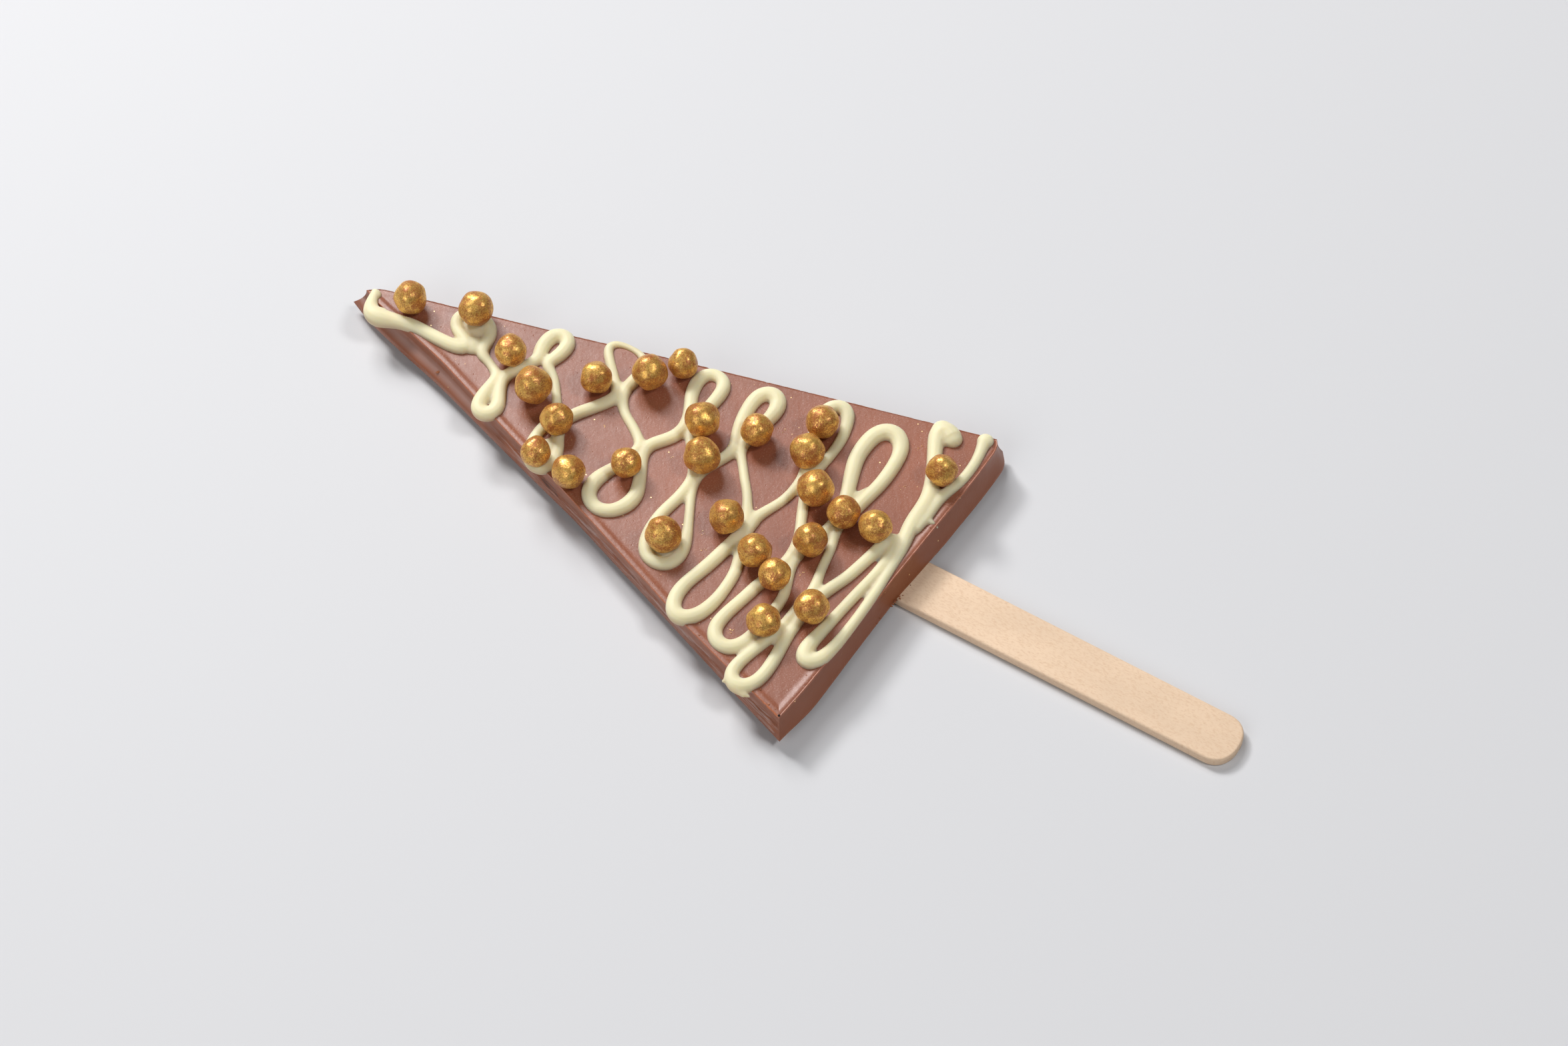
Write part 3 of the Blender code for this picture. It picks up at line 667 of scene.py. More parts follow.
def slab_rings(settings):
    """Rings of points from the middle of the underside up the cut sides and in over the lip."""
    places = slab_outline(settings.outline_step / MM)
    flat = [(place.x, place.y) for place in places]
    mitres = inward_mitres(flat)
    rooms = room_inside(flat, mitres)
    lip_width = settings.lip_width / MM
    lip_height = settings.lip_height / MM
    foot = SLAB_UNDERSIDE + FOOT_RISE
    flat_top = SLAB_TOP - TOP_SINK
    rings = []
    marks = {"ridge": [], "fracture": [], "sheen": [], "face_up": []}

    def add_ring(reach, level, ridge=0.0, fracture=0.0, face_up=0.0):
        """Add a ring with its marks. Where it has no level, it lies on the lip."""
        ring = []
        rows = {name: [] for name in marks}
        for place, mitre, room in zip(places, mitres, rooms):
            out = reach(place)
            if out < 0:
                out = out * room / (abs(out) ** 3 + room ** 3) ** (1 / 3)
            if level is None:
                lip = lip_height * (BACK_LIP if place.kind == "back" else 1.0)
                height = flat_top + lip_height_at(-out, lip_width, lip)
            else:
                height = level(place)
            point = on_part(place.x - mitre.x * out, place.y - mitre.y * out, height)
            point.x = min(max(point.x, SLAB_LOW.x), SLAB_HIGH.x)
            point.y = min(max(point.y, SLAB_LOW.y), SLAB_HIGH.y)
            ring.append(point)
            # The torn zone of the near cut: fracture marks the layered part, where the material paints shade
            # in the cracks and a sheen on the layers, and sheen marks the smooth part, where it paints a
            # sheen band
            torn = fracture if place.kind == "near" else 0.0
            rows["ridge"].append(ridge * (BACK_RIDGE if place.kind == "back" else 1.0))
            rows["fracture"].append(torn * layered(place))
            rows["sheen"].append(torn * (1 - layered(place)))
            rows["face_up"].append(face_up)
        rings.append(ring)
        for name, row in rows.items():
            marks[name].append(row)

    for inset, rise in UNDER_RINGS:
        add_ring(
            lambda p, inset=inset: cut_reach(p, 0.0) - inset,
            lambda p, rise=rise: SLAB_UNDERSIDE + rise,
        )
    for step in range(SIDE_STEPS + 1):
        share = step / SIDE_STEPS
        level = foot + (flat_top - foot) * share
        add_ring(
            lambda p, share=share: cut_reach(p, share) - chip(p) * share ** 4,
            lambda p, level=level: level,
            ridge=0.8 * smooth_step(0.93, 1.0, share) + 0.45 * (1 - smooth_step(0.0, 0.07, share)),
            fracture=max(0.0, 1.0 - abs(share - 0.42) / 0.42),
        )
    add_ring(
        lambda p: -0.10 - max(0.0, chip(p)) * 0.9,
        lambda p: SLAB_TOP + 0.02 - 0.5 * max(0.0, chip(p)),
        ridge=1.0,
    )
    for depth in LIP_DEPTHS:
        add_ring(
            lambda p, depth=depth: -depth * (1 + 0.12 * soft_noise(p.run * 0.12, 0.0, 15)),
            None,
            face_up=1.0,
        )
    return rings, marks


def extrude_to(obj, points):
    """Extrude the selected face and put its rim on the points, in their order."""
    bpy.ops.mesh.extrude_region()
    shape = bmesh.from_edit_mesh(obj.data)
    place = shape.verts.layers.int["place"]
    ring = shape.verts.layers.int["ring"]
    for vert in shape.verts:
        if vert.select:
            vert.co = points[vert[place]]
            vert[ring] += 1
    bmesh.update_edit_mesh(obj.data)


def chocolate_surface(settings):
    """Satin milk chocolate: fine pits and smears, torn layers with painted shade in their cracks and a
    painted sheen on them, a painted sheen band on the smooth near cut, a bubble hole painted dark as shade, a
    crumbly orange ridge and gold specks.
    """
    surface = Surface("milk_chocolate")
    plain = surface.coordinates()
    face_up = surface.attribute("face_up")
    fracture = surface.attribute("fracture")

    cloudy = surface.remap(surface.noise(plain, 55.0, 4.0, 0.6), 0.3, 0.7)
    base = surface.mix(cloudy, shade_of(settings.colour, 0.88), shade_of(settings.colour, 1.14))
    base = surface.mix(face_up, settings.side_colour, base)
    # Painted sheen band on the smooth part of the near cut
    sheen = surface.times(surface.remap(surface.attribute("sheen"), 0.55, 0.95), 0.6)
    base = surface.mix(sheen, base, SHEEN_COLOUR)
    crumbs = surface.remap(surface.noise(plain, 1500.0, 3.0, 0.7), 0.3, 0.6, 0.45, 1.0)
    base = surface.mix(surface.times(surface.attribute("ridge"), crumbs), base, settings.edge_colour)

    streaks = surface.noise(surface.coordinates(NEAR_CUT_TURN, (0.08, 1.0, 1.0)), 1500.0, 5.0, 0.68)
    # Painted shade in the cracks between the torn layers
    crack_shade = surface.remap(streaks, 0.37, 0.42, 1.0, 0.0)
    base = surface.mix(surface.times(fracture, crack_shade, 0.8), base, CRACK_SHADE_COLOUR)
    # Painted sheen on the torn layers: their pale streaks stand in for the floor's reflection
    layer_sheen = surface.remap(streaks, 0.50, 0.62)
    base = surface.mix(surface.times(fracture, layer_sheen, 0.85), base, LAYER_SHEEN_COLOUR)

    bloom = surface.remap(surface.noise(plain, 3400.0, 3.0, 0.8), 0.53, 0.70)
    bloom_zone = surface.remap(surface.noise(plain, 170.0), 0.35, 0.65, 0.30, 0.70)
    base = surface.mix(surface.times(bloom, bloom_zone, face_up), base, BLOOM_COLOUR)

    speck_size = surface.remap(surface.cells(plain, SPECK_CELLS), 0.15, 0.09)
    speck_pick = surface.remap(surface.cell_values(plain, SPECK_CELLS)["Red"], 0.90, 0.905)
    speck_zone = surface.remap(surface.noise(plain, 90.0), 0.42, 0.5)
    speck = surface.times(speck_size, speck_pick, speck_zone)
    base = surface.mix(speck, base, SPECK_COLOUR)

    bubble = surface.add("VectorMath")
    bubble.operation = "DISTANCE"
    surface.feed(bubble.inputs[0], plain)
    surface.feed(bubble.inputs[1], on_part(*BUBBLE))
    # The bubble's hole, painted near-black as painted shade, and rough
    hole = surface.remap(bubble.outputs["Value"], BUBBLE_HOLE, BUBBLE_RIM, 1.0, 0.0)
    base = surface.mix(hole, base, BUBBLE_SHADE_COLOUR)
    satin = surface.remap(surface.noise(plain, 260.0, 4.0, 0.7), 0.3, 0.7, 0.33, 0.45)

    grain = surface.noise(plain, 1100.0, 4.0, 0.65)
    smear = surface.noise(surface.coordinates(SMEAR_TURN, (0.14, 1.0, 1.0)), 620.0, 3.0)
    pits = surface.remap(surface.cells(plain, PIT_CELLS), 0.02, 0.12)
    pit_pick = surface.remap(surface.cell_values(plain, PIT_CELLS)["Green"], 0.06, 0.04)
    relief = surface.bump(grain, 0.04 * MM, 0.9)
    relief = surface.bump(smear, 0.05 * MM, 0.6, relief)
    relief = surface.bump(surface.math("MAXIMUM", pits, pit_pick), 0.06 * MM, 0.7, relief)
    relief = surface.bump(surface.times(streaks, fracture), 0.28 * MM, 0.8, relief)
    surface.set(
        Base_Color=base, Metallic=surface.times(speck, 0.8), Normal=relief,
        Roughness=surface.math("MAXIMUM", satin, hole), Specular_IOR_Level=0.75, IOR=1.46,
        Subsurface_Weight=0.06, Subsurface_Radius=(1.0, 0.45, 0.3), Subsurface_Scale=0.5 * MM,
    )
    return surface.material


class LOLLIPOP_OT_slab(Operator):
    """Builds the hand-cut milk chocolate slab"""

    bl_idname = "lollipop.slab"
    bl_label = "Slab"
    bl_options = {"REGISTER", "UNDO"}

    def execute(self, context):
        settings = context.scene.lollipop.slab
        rings, marks = slab_rings(settings)
        deselect_all()
        bpy.ops.mesh.primitive_circle_add(
            vertices=len(rings[0]), radius=30 * MM, fill_type="NGON", location=(0, 0, 0)
        )
        slab = context.active_object
        shape = bmesh.new()
        shape.from_mesh(slab.data)
        shape.verts.layers.int.new("place")
        shape.verts.layers.int.new("ring")
        place = shape.verts.layers.int["place"]
        face = next(iter(shape.faces))
        for number, vert in enumerate(face.verts):
            vert[place] = number
            vert.co = rings[0][number]
        shape.to_mesh(slab.data)
        shape.free()
        make_active(slab)
        bpy.ops.object.mode_set(mode="EDIT")
        bpy.ops.mesh.select_mode(type="FACE")
        bpy.ops.mesh.select_all(action="SELECT")
        for ring in rings[1:]:
            extrude_to(slab, ring)
        bpy.ops.mesh.select_all(action="SELECT")
        bpy.ops.mesh.normals_make_consistent(inside=False)
        bpy.ops.mesh.quads_convert_to_tris(quad_method="BEAUTY", ngon_method="BEAUTY")
        bpy.ops.object.mode_set(mode="OBJECT")
        attributes = slab.data.attributes
        places = [item.value for item in attributes["place"].data]
        numbers = [item.value for item in attributes["ring"].data]
        for name, rows in marks.items():
            mark = attributes.new(name, "FLOAT", "POINT")
            mark.data.foreach_set("value", [rows[ring][place] for ring, place in zip(numbers, places)])
        for name in ("place", "ring"):
            attributes.remove(attributes[name])
        make_active(slab)
        bpy.ops.object.shade_smooth_by_angle(angle=math.radians(50.0))
        finish_piece(slab, "slab", ["chocolate_slab"], chocolate_surface(settings))
        return {"FINISHED"}


# Piped line


# Steps along the line and along its threads
LINE_STEP = 0.6
THREAD_STEP = 0.3

# Points of a table that are closer than this count as one
SAME_POINT = 0.2

# Smoothing passes along the line and its threads
LINE_SMOOTHING = 6

# Steps of the line in one tube
STRETCH = 60

# Smoothing before and after the line is drawn in by its fillet
MELT_PASSES = 14
SETTLE_PASSES = 6

# Triangles that are left of the line after it is thinned
LINE_FACES = 170_000

# The line's middle lies this far below the upper edge of the slab
LINE_SINK = 0.12

# Drops on the line, such as its thick ends and the filled loop at the top: x, y, width and height
DROPS = (
    (-4.6, 110.2, 3.7, 3.2), (-0.9, 113.7, 2.2, 1.6), (2.4, 93.6, 5.0, 1.5), (-12.6, 66.6, 3.8, 1.5),
    (3.2, 92.0, 4.4, 1.4), (-1.2, 91.5, 4.0, 2.6), (27.6, 8.7, 4.1, 3.8), (26.9, 6.2, 3.8, 3.4),
    (29.6, 0.9, 3.2, 2.8), (6.6, 2.5, 3.6, 2.2), (9.0, 2.2, 3.8, 2.3), (12.0, 2.2, 3.6, 2.3),
    (-4.0, 52.0, 3.0, 2.4), (-7.6, 27.3, 3.4, 2.5), (-9.4, 16.9, 3.4, 2.5), (-21.2, 36.3, 3.8, 1.7),
    (-20.6, 37.6, 3.6, 1.6),
)

# Fine threads that the bag trailed: points as x, y, width and, where they hang down, height
THREADS = (
    (
        (9.1, 1.0, 1.7, 0.0), (9.3, -0.3, 1.0, 0.0), (9.3, -1.05, 0.7, -0.3),
        (9.2, -1.25, 0.5, -0.9), (9.1, -1.35, 0.3, -1.5),
    ),
    ((-37.4, 12.6, 1.8), (-38.4, 11.8, 1.5), (-38.6, 10.5, 1.2), (-38.5, 9.6, 1.2), (-38.7, 8.7, 0.9)),
    ((5.6, 14.9, 1.6), (8.0, 14.2, 1.0), (9.8, 13.5, 0.6)),
    ((-36.9, 12.6, 1.6), (-37.9, 13.4, 0.9), (-38.4, 13.8, 0.4)),
    ((-37.4, 9.9, 2.0), (-38.3, 9.2, 1.3), (-38.5, 8.4, 0.7), (-38.3, 7.8, 0.4)),
)


def fine_line(line, step):
    """The same line through the same points, with finer steps and a soft run through its corners."""
    clean = [line[0]]
    for point in line[1:]:
        if math.dist(point[:2], clean[-1][:2]) > SAME_POINT:
            clean.append(point)
    fine = []
    count = len(clean)
    for index in range(count - 1):
        a = clean[max(0, index - 1)]
        b = clean[index]
        c = clean[index + 1]
        d = clean[min(count - 1, index + 2)]
        steps = max(1, round(math.dist(b[:2], c[:2]) / step))
        for part in range(steps):
            t = part / steps
            fine.append(tuple(
                0.5 * (
                    2 * q + (r - p) * t + (2 * p - 5 * q + 4 * r - s) * t * t
                    + (3 * q - p - 3 * r + s) * t ** 3
                )
                for p, q, r, s in zip(a, b, c, d)
            ))
    fine.append(clean[-1])
    for _ in range(LINE_SMOOTHING):
        inner = zip(fine, fine[1:], fine[2:])
        soft = [tuple((p + 2 * q + r) / 4 for p, q, r in zip(a, b, c)) for a, b, c in inner]
        fine = [fine[0], *soft, fine[-1]]
    return fine


def add_tube(name, points, grow):
    """A round closed tube along the points, each with its own width, wider by the growth."""
    curve = bpy.data.curves.new(name, "CURVE")
    curve.dimensions = "3D"
    curve.fill_mode = "FULL"
    curve.use_fill_caps = True
    curve.bevel_depth = MM
    curve.bevel_resolution = 4
    curve.twist_mode = "Z_UP"
    spline = curve.splines.new("POLY")
    spline.points.add(len(points) - 1)
    for point, (x, y, width, *height) in zip(spline.points, points):
        place = on_part(x, y, sum(height))
        point.co = (*place, 1.0)
        point.radius = width / 2 + grow
    tube = bpy.data.objects.new(name, curve)
    bpy.context.scene.collection.objects.link(tube)
    make_active(tube)
    bpy.ops.object.convert(target="MESH")
    return tube


def add_ball(x, y, width, height, grow):
    deselect_all()
    bpy.ops.mesh.primitive_ico_sphere_add(subdivisions=3, radius=MM, location=on_part(x, y))
    ball = bpy.context.active_object
    ball.scale = (width / 2 + grow, width / 2 + grow, height / 2 + grow)
    apply_place(ball)
    return ball


def white_chocolate_surface(settings):
    """Smooth ivory white chocolate, thinner and browner where it meets the slab."""
    surface = Surface("white_chocolate")
    plain = surface.coordinates()
    cloudy = surface.remap(surface.noise(plain, 160.0), 0.3, 0.7)
    body = surface.mix(cloudy, shade_of(settings.colour, 0.97), shade_of(settings.colour, 1.03))
    low = surface.remap(surface.height(), (SLAB_TOP - 0.2) * MM, (SLAB_TOP + 0.75) * MM)
    surface.set(
        Base_Color=surface.mix(low, settings.thin_colour, body),
        Normal=surface.bump(surface.noise(plain, 500.0, 3.0), 0.03 * MM, 0.5),
        Roughness=0.52, Specular_IOR_Level=0.38, IOR=1.46,
        Subsurface_Weight=0.8, Subsurface_Radius=(1.0, 0.85, 0.55), Subsurface_Scale=2.0 * MM,
    )
    return surface.material


class LOLLIPOP_OT_piping(Operator):
    """Pipes the white chocolate line"""

    bl_idname = "lollipop.piping"
    bl_label = "Piped line"
    bl_options = {"REGISTER", "UNDO"}

    def execute(self, context):
        settings = context.scene.lollipop.piping
        grow = settings.fillet / MM
        wavy = [
            (x, y, width * (settings.fullness + 0.035 * soft_noise(number * 0.13, 0.0, 21)))
            for number, (x, y, width) in enumerate(fine_line(LINE, LINE_STEP))
        ]
        pieces = []
        for start in range(0, len(wavy) - 1, STRETCH):
            pieces.append(add_tube("piped_stretch", wavy[start:start + STRETCH + 1], grow))
            if start:
                x, y, width = wavy[start]
                pieces.append(add_ball(x, y, width, width, grow))
        pieces.append(add_tube("piped_tail", fine_line(TAIL, LINE_STEP), grow))
        for points in THREADS:
            pieces.append(add_tube("piped_thread", fine_line(points, THREAD_STEP), grow * 0.6))
        for x, y, width, height in DROPS:
            pieces.append(add_ball(x, y, width, height, grow))
        line = join(pieces)
        line.data.remesh_voxel_size = settings.cell
        bpy.ops.object.voxel_remesh()
        apply_modifier(line, "melt", "SMOOTH", factor=0.5, iterations=MELT_PASSES)
        apply_modifier(
            line, "draw_in", "DISPLACE", strength=-settings.fillet, mid_level=0.0, direction="NORMAL",
        )
        apply_modifier(line, "settle", "SMOOTH", factor=0.5, iterations=SETTLE_PASSES)
        faces = sum(len(face.vertices) - 2 for face in line.data.polygons)
        apply_modifier(line, "thin_out", "DECIMATE", ratio=min(1.0, LINE_FACES / faces))
        make_active(line)
        bpy.ops.transform.resize(value=(1.0, 1.0, settings.flatness), center_override=(0.0, 0.0, 0.0))
        apply_place(line)
        line.location.z = (SLAB_TOP - LINE_SINK) * MM
        apply_place(line)
        bpy.ops.object.shade_smooth()
        white = white_chocolate_surface(settings)
        finish_piece(line, "piped_line", ["chocolate_slab"], white)
        return {"FINISHED"}


# Sugar pearls


# How far a pearl's three sizes depart from its radius at most, as a share of it
PEARL_STRETCH = 0.012


def lustre_surface(settings):
    """Gold lustre dust over brown sugar, rubbed off in patches and glittering."""
    surface = Surface("gold_lustre")
    plain = surface.coordinates()
    patches = surface.times(surface.noise(plain, 380.0, 5.0, 0.7), 0.5)
    grains = surface.times(surface.noise(plain, 3600.0, 3.0, 0.8), 0.5)
    cover = surface.remap(surface.math("ADD", patches, grains), 0.44, 0.55)
    flakes = surface.cell_values(plain, 7000.0)
    bright = surface.mix(flakes["Red"], shade_of(settings.gold, 0.75), (1.0, 0.66, 0.19))
    relief = surface.bump(surface.noise(plain, 1100.0, 3.0, 0.65), 0.07 * MM, 0.8)
    surface.set(
        Base_Color=surface.mix(cover, settings.worn, bright),
        Metallic=surface.remap(cover, 0.0, 1.0, 0.25, 0.75),
        Roughness=surface.remap(flakes["Green"], 0.0, 1.0, 0.28, 0.50),
        Normal=surface.bump(flakes["Blue"], 0.05 * MM, 1.0, relief),
        Specular_IOR_Level=0.5,
    )
    return surface.material


class LOLLIPOP_OT_pearls(Operator):
    """Shapes one uneven sugar pearl and sets copies of it on the slab"""

    bl_idname = "lollipop.pearls"
    bl_label = "Sugar pearls"
    bl_options = {"REGISTER", "UNDO"}

    def execute(self, context):
        settings = context.scene.lollipop.pearls
        gold = lustre_surface(settings)
        deselect_all()
        bpy.ops.mesh.primitive_uv_sphere_add(segments=48, ring_count=28, radius=1.0, location=(0, 0, 0))
        model = context.active_object
        lumps = bpy.data.textures.new("pearl_lumps", "CLOUDS")
        lumps.noise_scale = 1.1
        lumps.noise_depth = 1
        apply_modifier(model, "lumps", "DISPLACE", texture=lumps, strength=settings.unevenness, mid_level=0.5)
        bpy.ops.object.shade_smooth()
        draw = random.Random(settings.seed)
        for number, radius in enumerate(PEARL_RADII, start=1):
            pearl = bpy.data.objects.new("pearl", model.data.copy())
            context.scene.collection.objects.link(pearl)
            pearl.rotation_euler = [draw.uniform(0, 2 * math.pi) for _ in range(3)]
            pearl.scale = [
                radius * MM * (1 + draw.uniform(-PEARL_STRETCH, PEARL_STRETCH)) for _ in range(3)
            ]
            apply_place(pearl)
            lowest = min(vert.co.z for vert in pearl.data.vertices)
            node = f"pearl_{number:02d}"
            low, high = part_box(node)
            middle = (low + high) / 2
            pearl.location = (middle.x, middle.y, low.z - settings.settle - lowest)
            finish_piece(pearl, f"gold_{node}", [node], gold)
        bpy.data.objects.remove(model)
        return {"FINISHED"}


# Stick


# The stick's ends: steps round one end, how far it reaches, and how square it is (2 is an ellipse)
END_STEPS = 48
END_REACH = 4.4
END_POWER = 2.3


def birch_surface(settings):
    """Smooth pale birch with short flecks along the grain and a faint figure across it."""
    surface = Surface("birch_wood")
    flecks = surface.noise(surface.coordinates(scale=(1.0, 0.36, 1.0)), 4200.0, 3.0, 0.6)
    broad = surface.noise(surface.coordinates(scale=(1.0, 0.5, 1.0)), 140.0, 3.0)
    broad = surface.remap(broad, 0.3, 0.7)
    wood = surface.mix(broad, shade_of(settings.colour, 0.95), shade_of(settings.colour, 1.05))
    share = surface.remap(flecks, 0.47, 0.68, 0.0, 0.65)
    surface.set(
        Base_Color=surface.mix(share, wood, settings.fleck_colour),
        Normal=surface.bump(flecks, 0.05 * MM, 0.5),
        Roughness=0.62, Specular_IOR_Level=0.35,
    )
    return surface.material


class LOLLIPOP_OT_stick(Operator):
    """Cuts the flat stick with its rounded ends and softened edges"""

    bl_idname = "lollipop.stick"
    bl_label = "Stick"
    bl_options = {"REGISTER", "UNDO"}

    def execute(self, context):
        settings = context.scene.lollipop.stick
        half = STICK_WIDTH / 2
        deselect_all()
        bpy.ops.mesh.primitive_circle_add(
            vertices=2 * (END_STEPS + 1), radius=half * MM, fill_type="NGON", location=(0, 0, 0)
        )
        stick = context.active_object
        low = STICK_TIP_Y + END_REACH
        high = STICK_TIP_Y + STICK_LENGTH - END_REACH
        outline = []
        for middle, turn in ((high, 0.0), (low, math.pi)):
            for step in range(END_STEPS + 1):
                angle = turn + math.pi * step / END_STEPS
                across, ahead = (
                    math.copysign(abs(value) ** (2 / END_POWER), value)
                    for value in (math.cos(angle), math.sin(angle))
                )
                outline.append(on_part(half * across, middle + END_REACH * ahead))
        face = stick.data.polygons[0]
        for index, point in zip(face.vertices, outline):
            stick.data.vertices[index].co = point
        bpy.ops.object.mode_set(mode="EDIT")
        bpy.ops.mesh.select_mode(type="FACE")
        bpy.ops.mesh.select_all(action="SELECT")
        bpy.ops.mesh.extrude_region_move(TRANSFORM_OT_translate={"value": (0, 0, STICK_TOP * MM)})
        bpy.ops.mesh.select_all(action="SELECT")
        bpy.ops.mesh.normals_make_consistent(inside=False)
        bpy.ops.object.mode_set(mode="OBJECT")
        apply_modifier(
            stick, "soft_edges", "BEVEL", width=settings.edge_round, segments=5, limit_method="ANGLE",
            angle_limit=math.radians(60.0), use_clamp_overlap=False,
        )
        bpy.ops.object.shade_smooth_by_angle(angle=math.radians(30.0))
        finish_piece(stick, "birch_stick", ["stick"], birch_surface(settings))
        return {"FINISHED"}


# Crumbs and gold flakes


# Chocolate crumbs: x, y, level of what they lie on, and size
CRUMBS = (
    (-6.9, -1.4, 2.2, 0.5), (-6.3, -1.45, 2.1, 0.45), (-5.8, -1.5, 2.3, 0.55), (-5.3, -1.5, 2.1, 0.5),
    (-4.6, -1.8, STICK_TOP, 0.5), (-4.3, -1.5, STICK_TOP, 0.4), (-3.8, -1.9, STICK_TOP, 0.3),
    (-10.4, -1.2, 2.6, 0.35), (-11.4, -1.1, 2.3, 0.3), (-7.7, 95.0, 3.8, 1.0),
    (-1.2, -1.9, STICK_TOP, 0.25), (1.2, 4.0, SLAB_TOP, 0.8), (0.6, 3.9, SLAB_TOP, 0.45),
    (27.6, 4.7, SLAB_TOP, 0.4), (-38.2, 3.0, SLAB_TOP, 0.3), (-38.0, 4.4, SLAB_TOP, 0.35),
    (-36.2, 7.2, SLAB_TOP, 0.3), (-32.5, 22.0, SLAB_TOP, 0.3), (-30.8, 26.6, SLAB_TOP, 0.35),
    (-20.3, 55.6, SLAB_TOP, 0.3), (-26.3, 1.1, SLAB_TOP, 0.3), (8.0, -0.3, SLAB_TOP, 0.3),
)

# Clusters of gold flakes on the slab: x, y, reach and number
FLAKES = (
    (-28.6, 17.9, 0.7, 9), (-33.2, 16.7, 0.5, 6), (-35.2, 1.9, 1.0, 10), (-37.7, 3.8, 0.5, 6),
    (-3.6, 60.8, 0.5, 5), (-4.8, 53.1, 0.4, 3), (-2.9, 46.8, 0.5, 4), (-30.1, 23.8, 0.7, 5),
    (-28.9, 31.6, 0.5, 3), (-14.4, 33.3, 0.8, 4), (-17.1, 30.9, 0.6, 4), (4.3, 10.9, 0.7, 4),
    (12.8, 8.2, 0.9, 5), (22.2, 10.4, 0.8, 4), (-12.0, 13.6, 0.7, 4), (12.6, 33.0, 0.7, 3),
)

# Flakes lie this far below the upper edge of the slab
FLAKE_SINK = 0.13


def add_bit(x, y, z, length, width, height, draw):
    """One small broken piece with flat faces."""
    bpy.ops.mesh.primitive_ico_sphere_add(subdivisions=1, radius=MM / 2, location=(0, 0, 0))
    bit = bpy.context.active_object
    for vert in bit.data.vertices:
        vert.co *= draw.uniform(0.65, 1.15)
    bit.scale = (length, width, height)
    bit.rotation_euler = (draw.uniform(-0.3, 0.3), draw.uniform(-0.3, 0.3), draw.uniform(0, math.pi))
    bit.location = on_part(x, y, z + 0.3 * height)
    apply_place(bit)
    return bit


def grainy_surface(name, grain, dark, light, **values):
    """A material that runs from a dark to a light colour in fine grains."""
    surface = Surface(name)
    tone = surface.remap(surface.noise(surface.coordinates(), grain), 0.35, 0.65)
    surface.set(Base_Color=surface.mix(tone, dark, light), **values)
    return surface.material


class LOLLIPOP_OT_crumbs(Operator):
    """Scatters the chocolate crumbs and the loose gold flakes"""

    bl_idname = "lollipop.crumbs"
    bl_label = "Crumbs and flakes"
    bl_options = {"REGISTER", "UNDO"}

    def execute(self, context):
        settings = context.scene.lollipop.crumbs
        draw = random.Random(settings.seed)
        crumbs = []
        for x, y, level, size in CRUMBS:
            size *= settings.crumb_size
            crumbs.append(add_bit(x, y, level, size * 1.25, size * 0.85, size * 0.7, draw))
        broken = grainy_surface(
            "broken_chocolate", 1800.0, (0.24, 0.07, 0.025), (0.50, 0.19, 0.085),
            Roughness=0.6, Specular_IOR_Level=0.3,
        )
        finish_piece(join(crumbs), "chocolate_crumbs", [], broken)
        flakes = []
        for x, y, reach, number in FLAKES:
            for _ in range(number):
                angle = draw.uniform(0, 2 * math.pi)
                away = reach * draw.uniform(0.1, 1.0)
                size = draw.uniform(0.10, 0.26) * settings.flake_size
                flakes.append(add_bit(
                    x + away * math.cos(angle), y + away * math.sin(angle), SLAB_TOP - FLAKE_SINK,
                    size * 1.4, size * 0.7, size * 0.4, draw,
                ))
        gold = grainy_surface(
            "gold_flakes", 2500.0, (0.95, 0.50, 0.16), (1.0, 0.78, 0.42), Roughness=0.35, Metallic=0.55,
        )
        finish_piece(join(flakes), "gold_flakes", [], gold)
        return {"FINISHED"}


# Stage


# What the camera and the lights are aimed at
TARGET = (3.88 * MM, -1.64 * MM, 0.0)

# The camera's direction seen from above, and its lens
LOOK_X, LOOK_Y = 0.8483, 0.5294
LENS = 75.0
SENSOR = 36.0

# Lights: name, direction from the target, and size in metres
LIGHTS = (
    ("key", (0.25, 0.72, 0.65), 0.25),
    ("panel", (0.378, 0.583, 0.719), 0.65),
    ("side", (-0.80, 0.15, 0.58), 0.9),
    ("fill", (0.118, -0.530, 0.838), 0.3),
)
LIGHT_DISTANCE = 1.3


def aim(obj, target):
    obj.rotation_euler = (target - obj.location).to_track_quat("-Z", "Y").to_euler()


def add_softbox(name, direction, size, power, target):
    data = bpy.data.lights.new(name, "AREA")
    data.shape = "DISK"
    data.size = size
    data.energy = power
    light = bpy.data.objects.new(name, data)
    bpy.context.scene.collection.objects.link(light)
    light.location = target + Vector(direction).normalized() * LIGHT_DISTANCE
    aim(light, target)


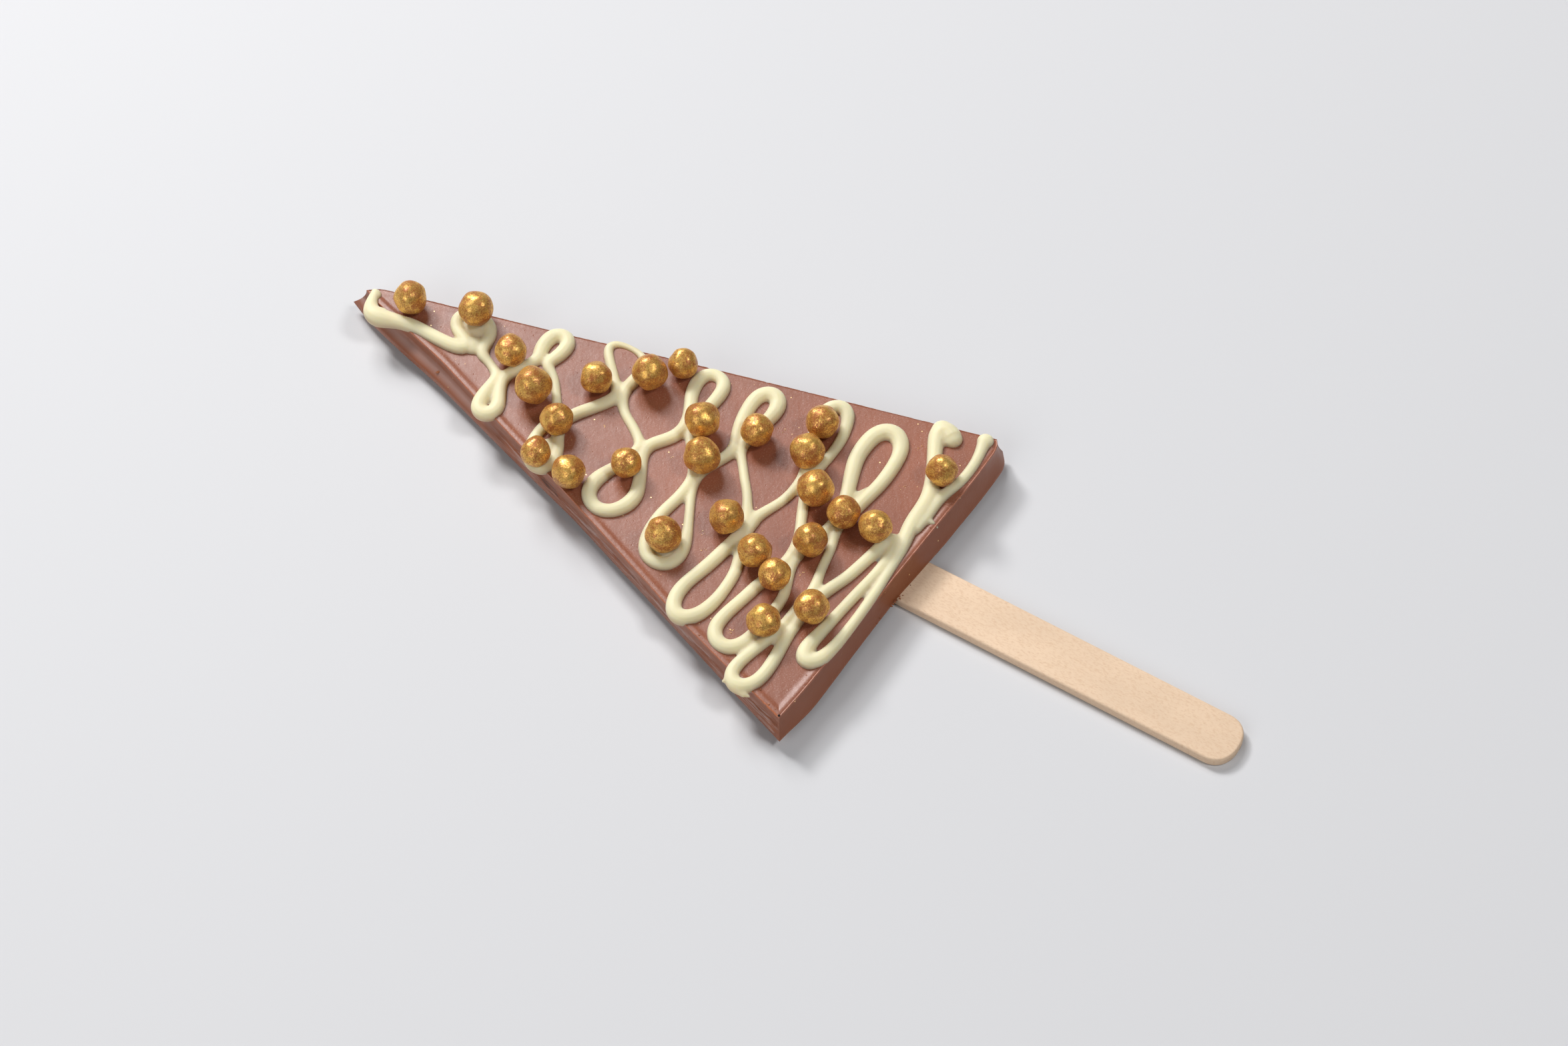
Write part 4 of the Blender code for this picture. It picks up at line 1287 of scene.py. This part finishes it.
class LOLLIPOP_OT_stage(Operator):
    """Adds the pale floor, the soft lights and the camera"""

    bl_idname = "lollipop.stage"
    bl_label = "Stage"
    bl_options = {"REGISTER", "UNDO"}

    def execute(self, context):
        settings = context.scene.lollipop.stage
        deselect_all()
        bpy.ops.mesh.primitive_plane_add(size=4.0, location=(0, 0, 0))
        floor = context.active_object
        floor.name = "floor"
        surface = Surface("pale_floor")
        surface.set(Base_Color=settings.floor_colour, Roughness=0.6, Specular_IOR_Level=0.2)
        floor.data.materials.append(surface.material)
        target = Vector(TARGET)
        for name, direction, size in LIGHTS:
            add_softbox(f"{name}_light", direction, size, getattr(settings, f"{name}_power"), target)
        world = bpy.data.worlds.new("surround")
        world.use_nodes = True
        background = world.node_tree.nodes["Background"]
        background.inputs["Color"].default_value = (0.95, 0.97, 1.0, 1.0)
        background.inputs["Strength"].default_value = settings.surround
        context.scene.world = world
        context.scene.view_settings.view_transform = "Standard"
        data = bpy.data.cameras.new("camera")
        data.lens = LENS
        data.sensor_width = SENSOR
        data.clip_start = 0.01
        camera = bpy.data.objects.new("camera", data)
        context.scene.collection.objects.link(camera)
        level = math.cos(settings.camera_elevation)
        look = Vector((LOOK_X * level, LOOK_Y * level, -math.sin(settings.camera_elevation)))
        camera.location = target - look.normalized() * settings.camera_distance
        aim(camera, target)
        context.scene.camera = camera
        return {"FINISHED"}


class LOLLIPOP_PT_panel(Panel):
    """Lists the pieces of the lollipop"""

    bl_label = "Chocolate lollipop"
    bl_idname = "LOLLIPOP_PT_panel"
    bl_space_type = "VIEW_3D"
    bl_region_type = "UI"
    bl_category = "Lollipop"

    def draw(self, context):
        settings = context.scene.lollipop
        for operator, group in STEPS:
            box = self.layout.box()
            box.operator(operator.bl_idname)
            values = getattr(settings, group)
            for name in values.bl_rna.properties.keys():
                if name not in ("rna_type", "name"):
                    box.prop(values, name)


STEPS = (
    (LOLLIPOP_OT_slab, "slab"),
    (LOLLIPOP_OT_piping, "piping"),
    (LOLLIPOP_OT_pearls, "pearls"),
    (LOLLIPOP_OT_stick, "stick"),
    (LOLLIPOP_OT_crumbs, "crumbs"),
    (LOLLIPOP_OT_stage, "stage"),
)
CLASSES = (
    SlabSettings,
    PipingSettings,
    PearlSettings,
    StickSettings,
    CrumbSettings,
    StageSettings,
    LollipopSettings,
    *(operator for operator, _ in STEPS),
    LOLLIPOP_PT_panel,
)


def register():
    for item in CLASSES:
        bpy.utils.register_class(item)
    bpy.types.Scene.lollipop = PointerProperty(type=LollipopSettings)


def unregister():
    del bpy.types.Scene.lollipop
    for item in reversed(CLASSES):
        bpy.utils.unregister_class(item)


def main():
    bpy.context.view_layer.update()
    register()
    bpy.ops.lollipop.slab()
    bpy.ops.lollipop.piping()
    bpy.ops.lollipop.pearls()
    bpy.ops.lollipop.stick()
    bpy.ops.lollipop.crumbs()
    bpy.ops.lollipop.stage()


if __name__ == "__main__":
    main()
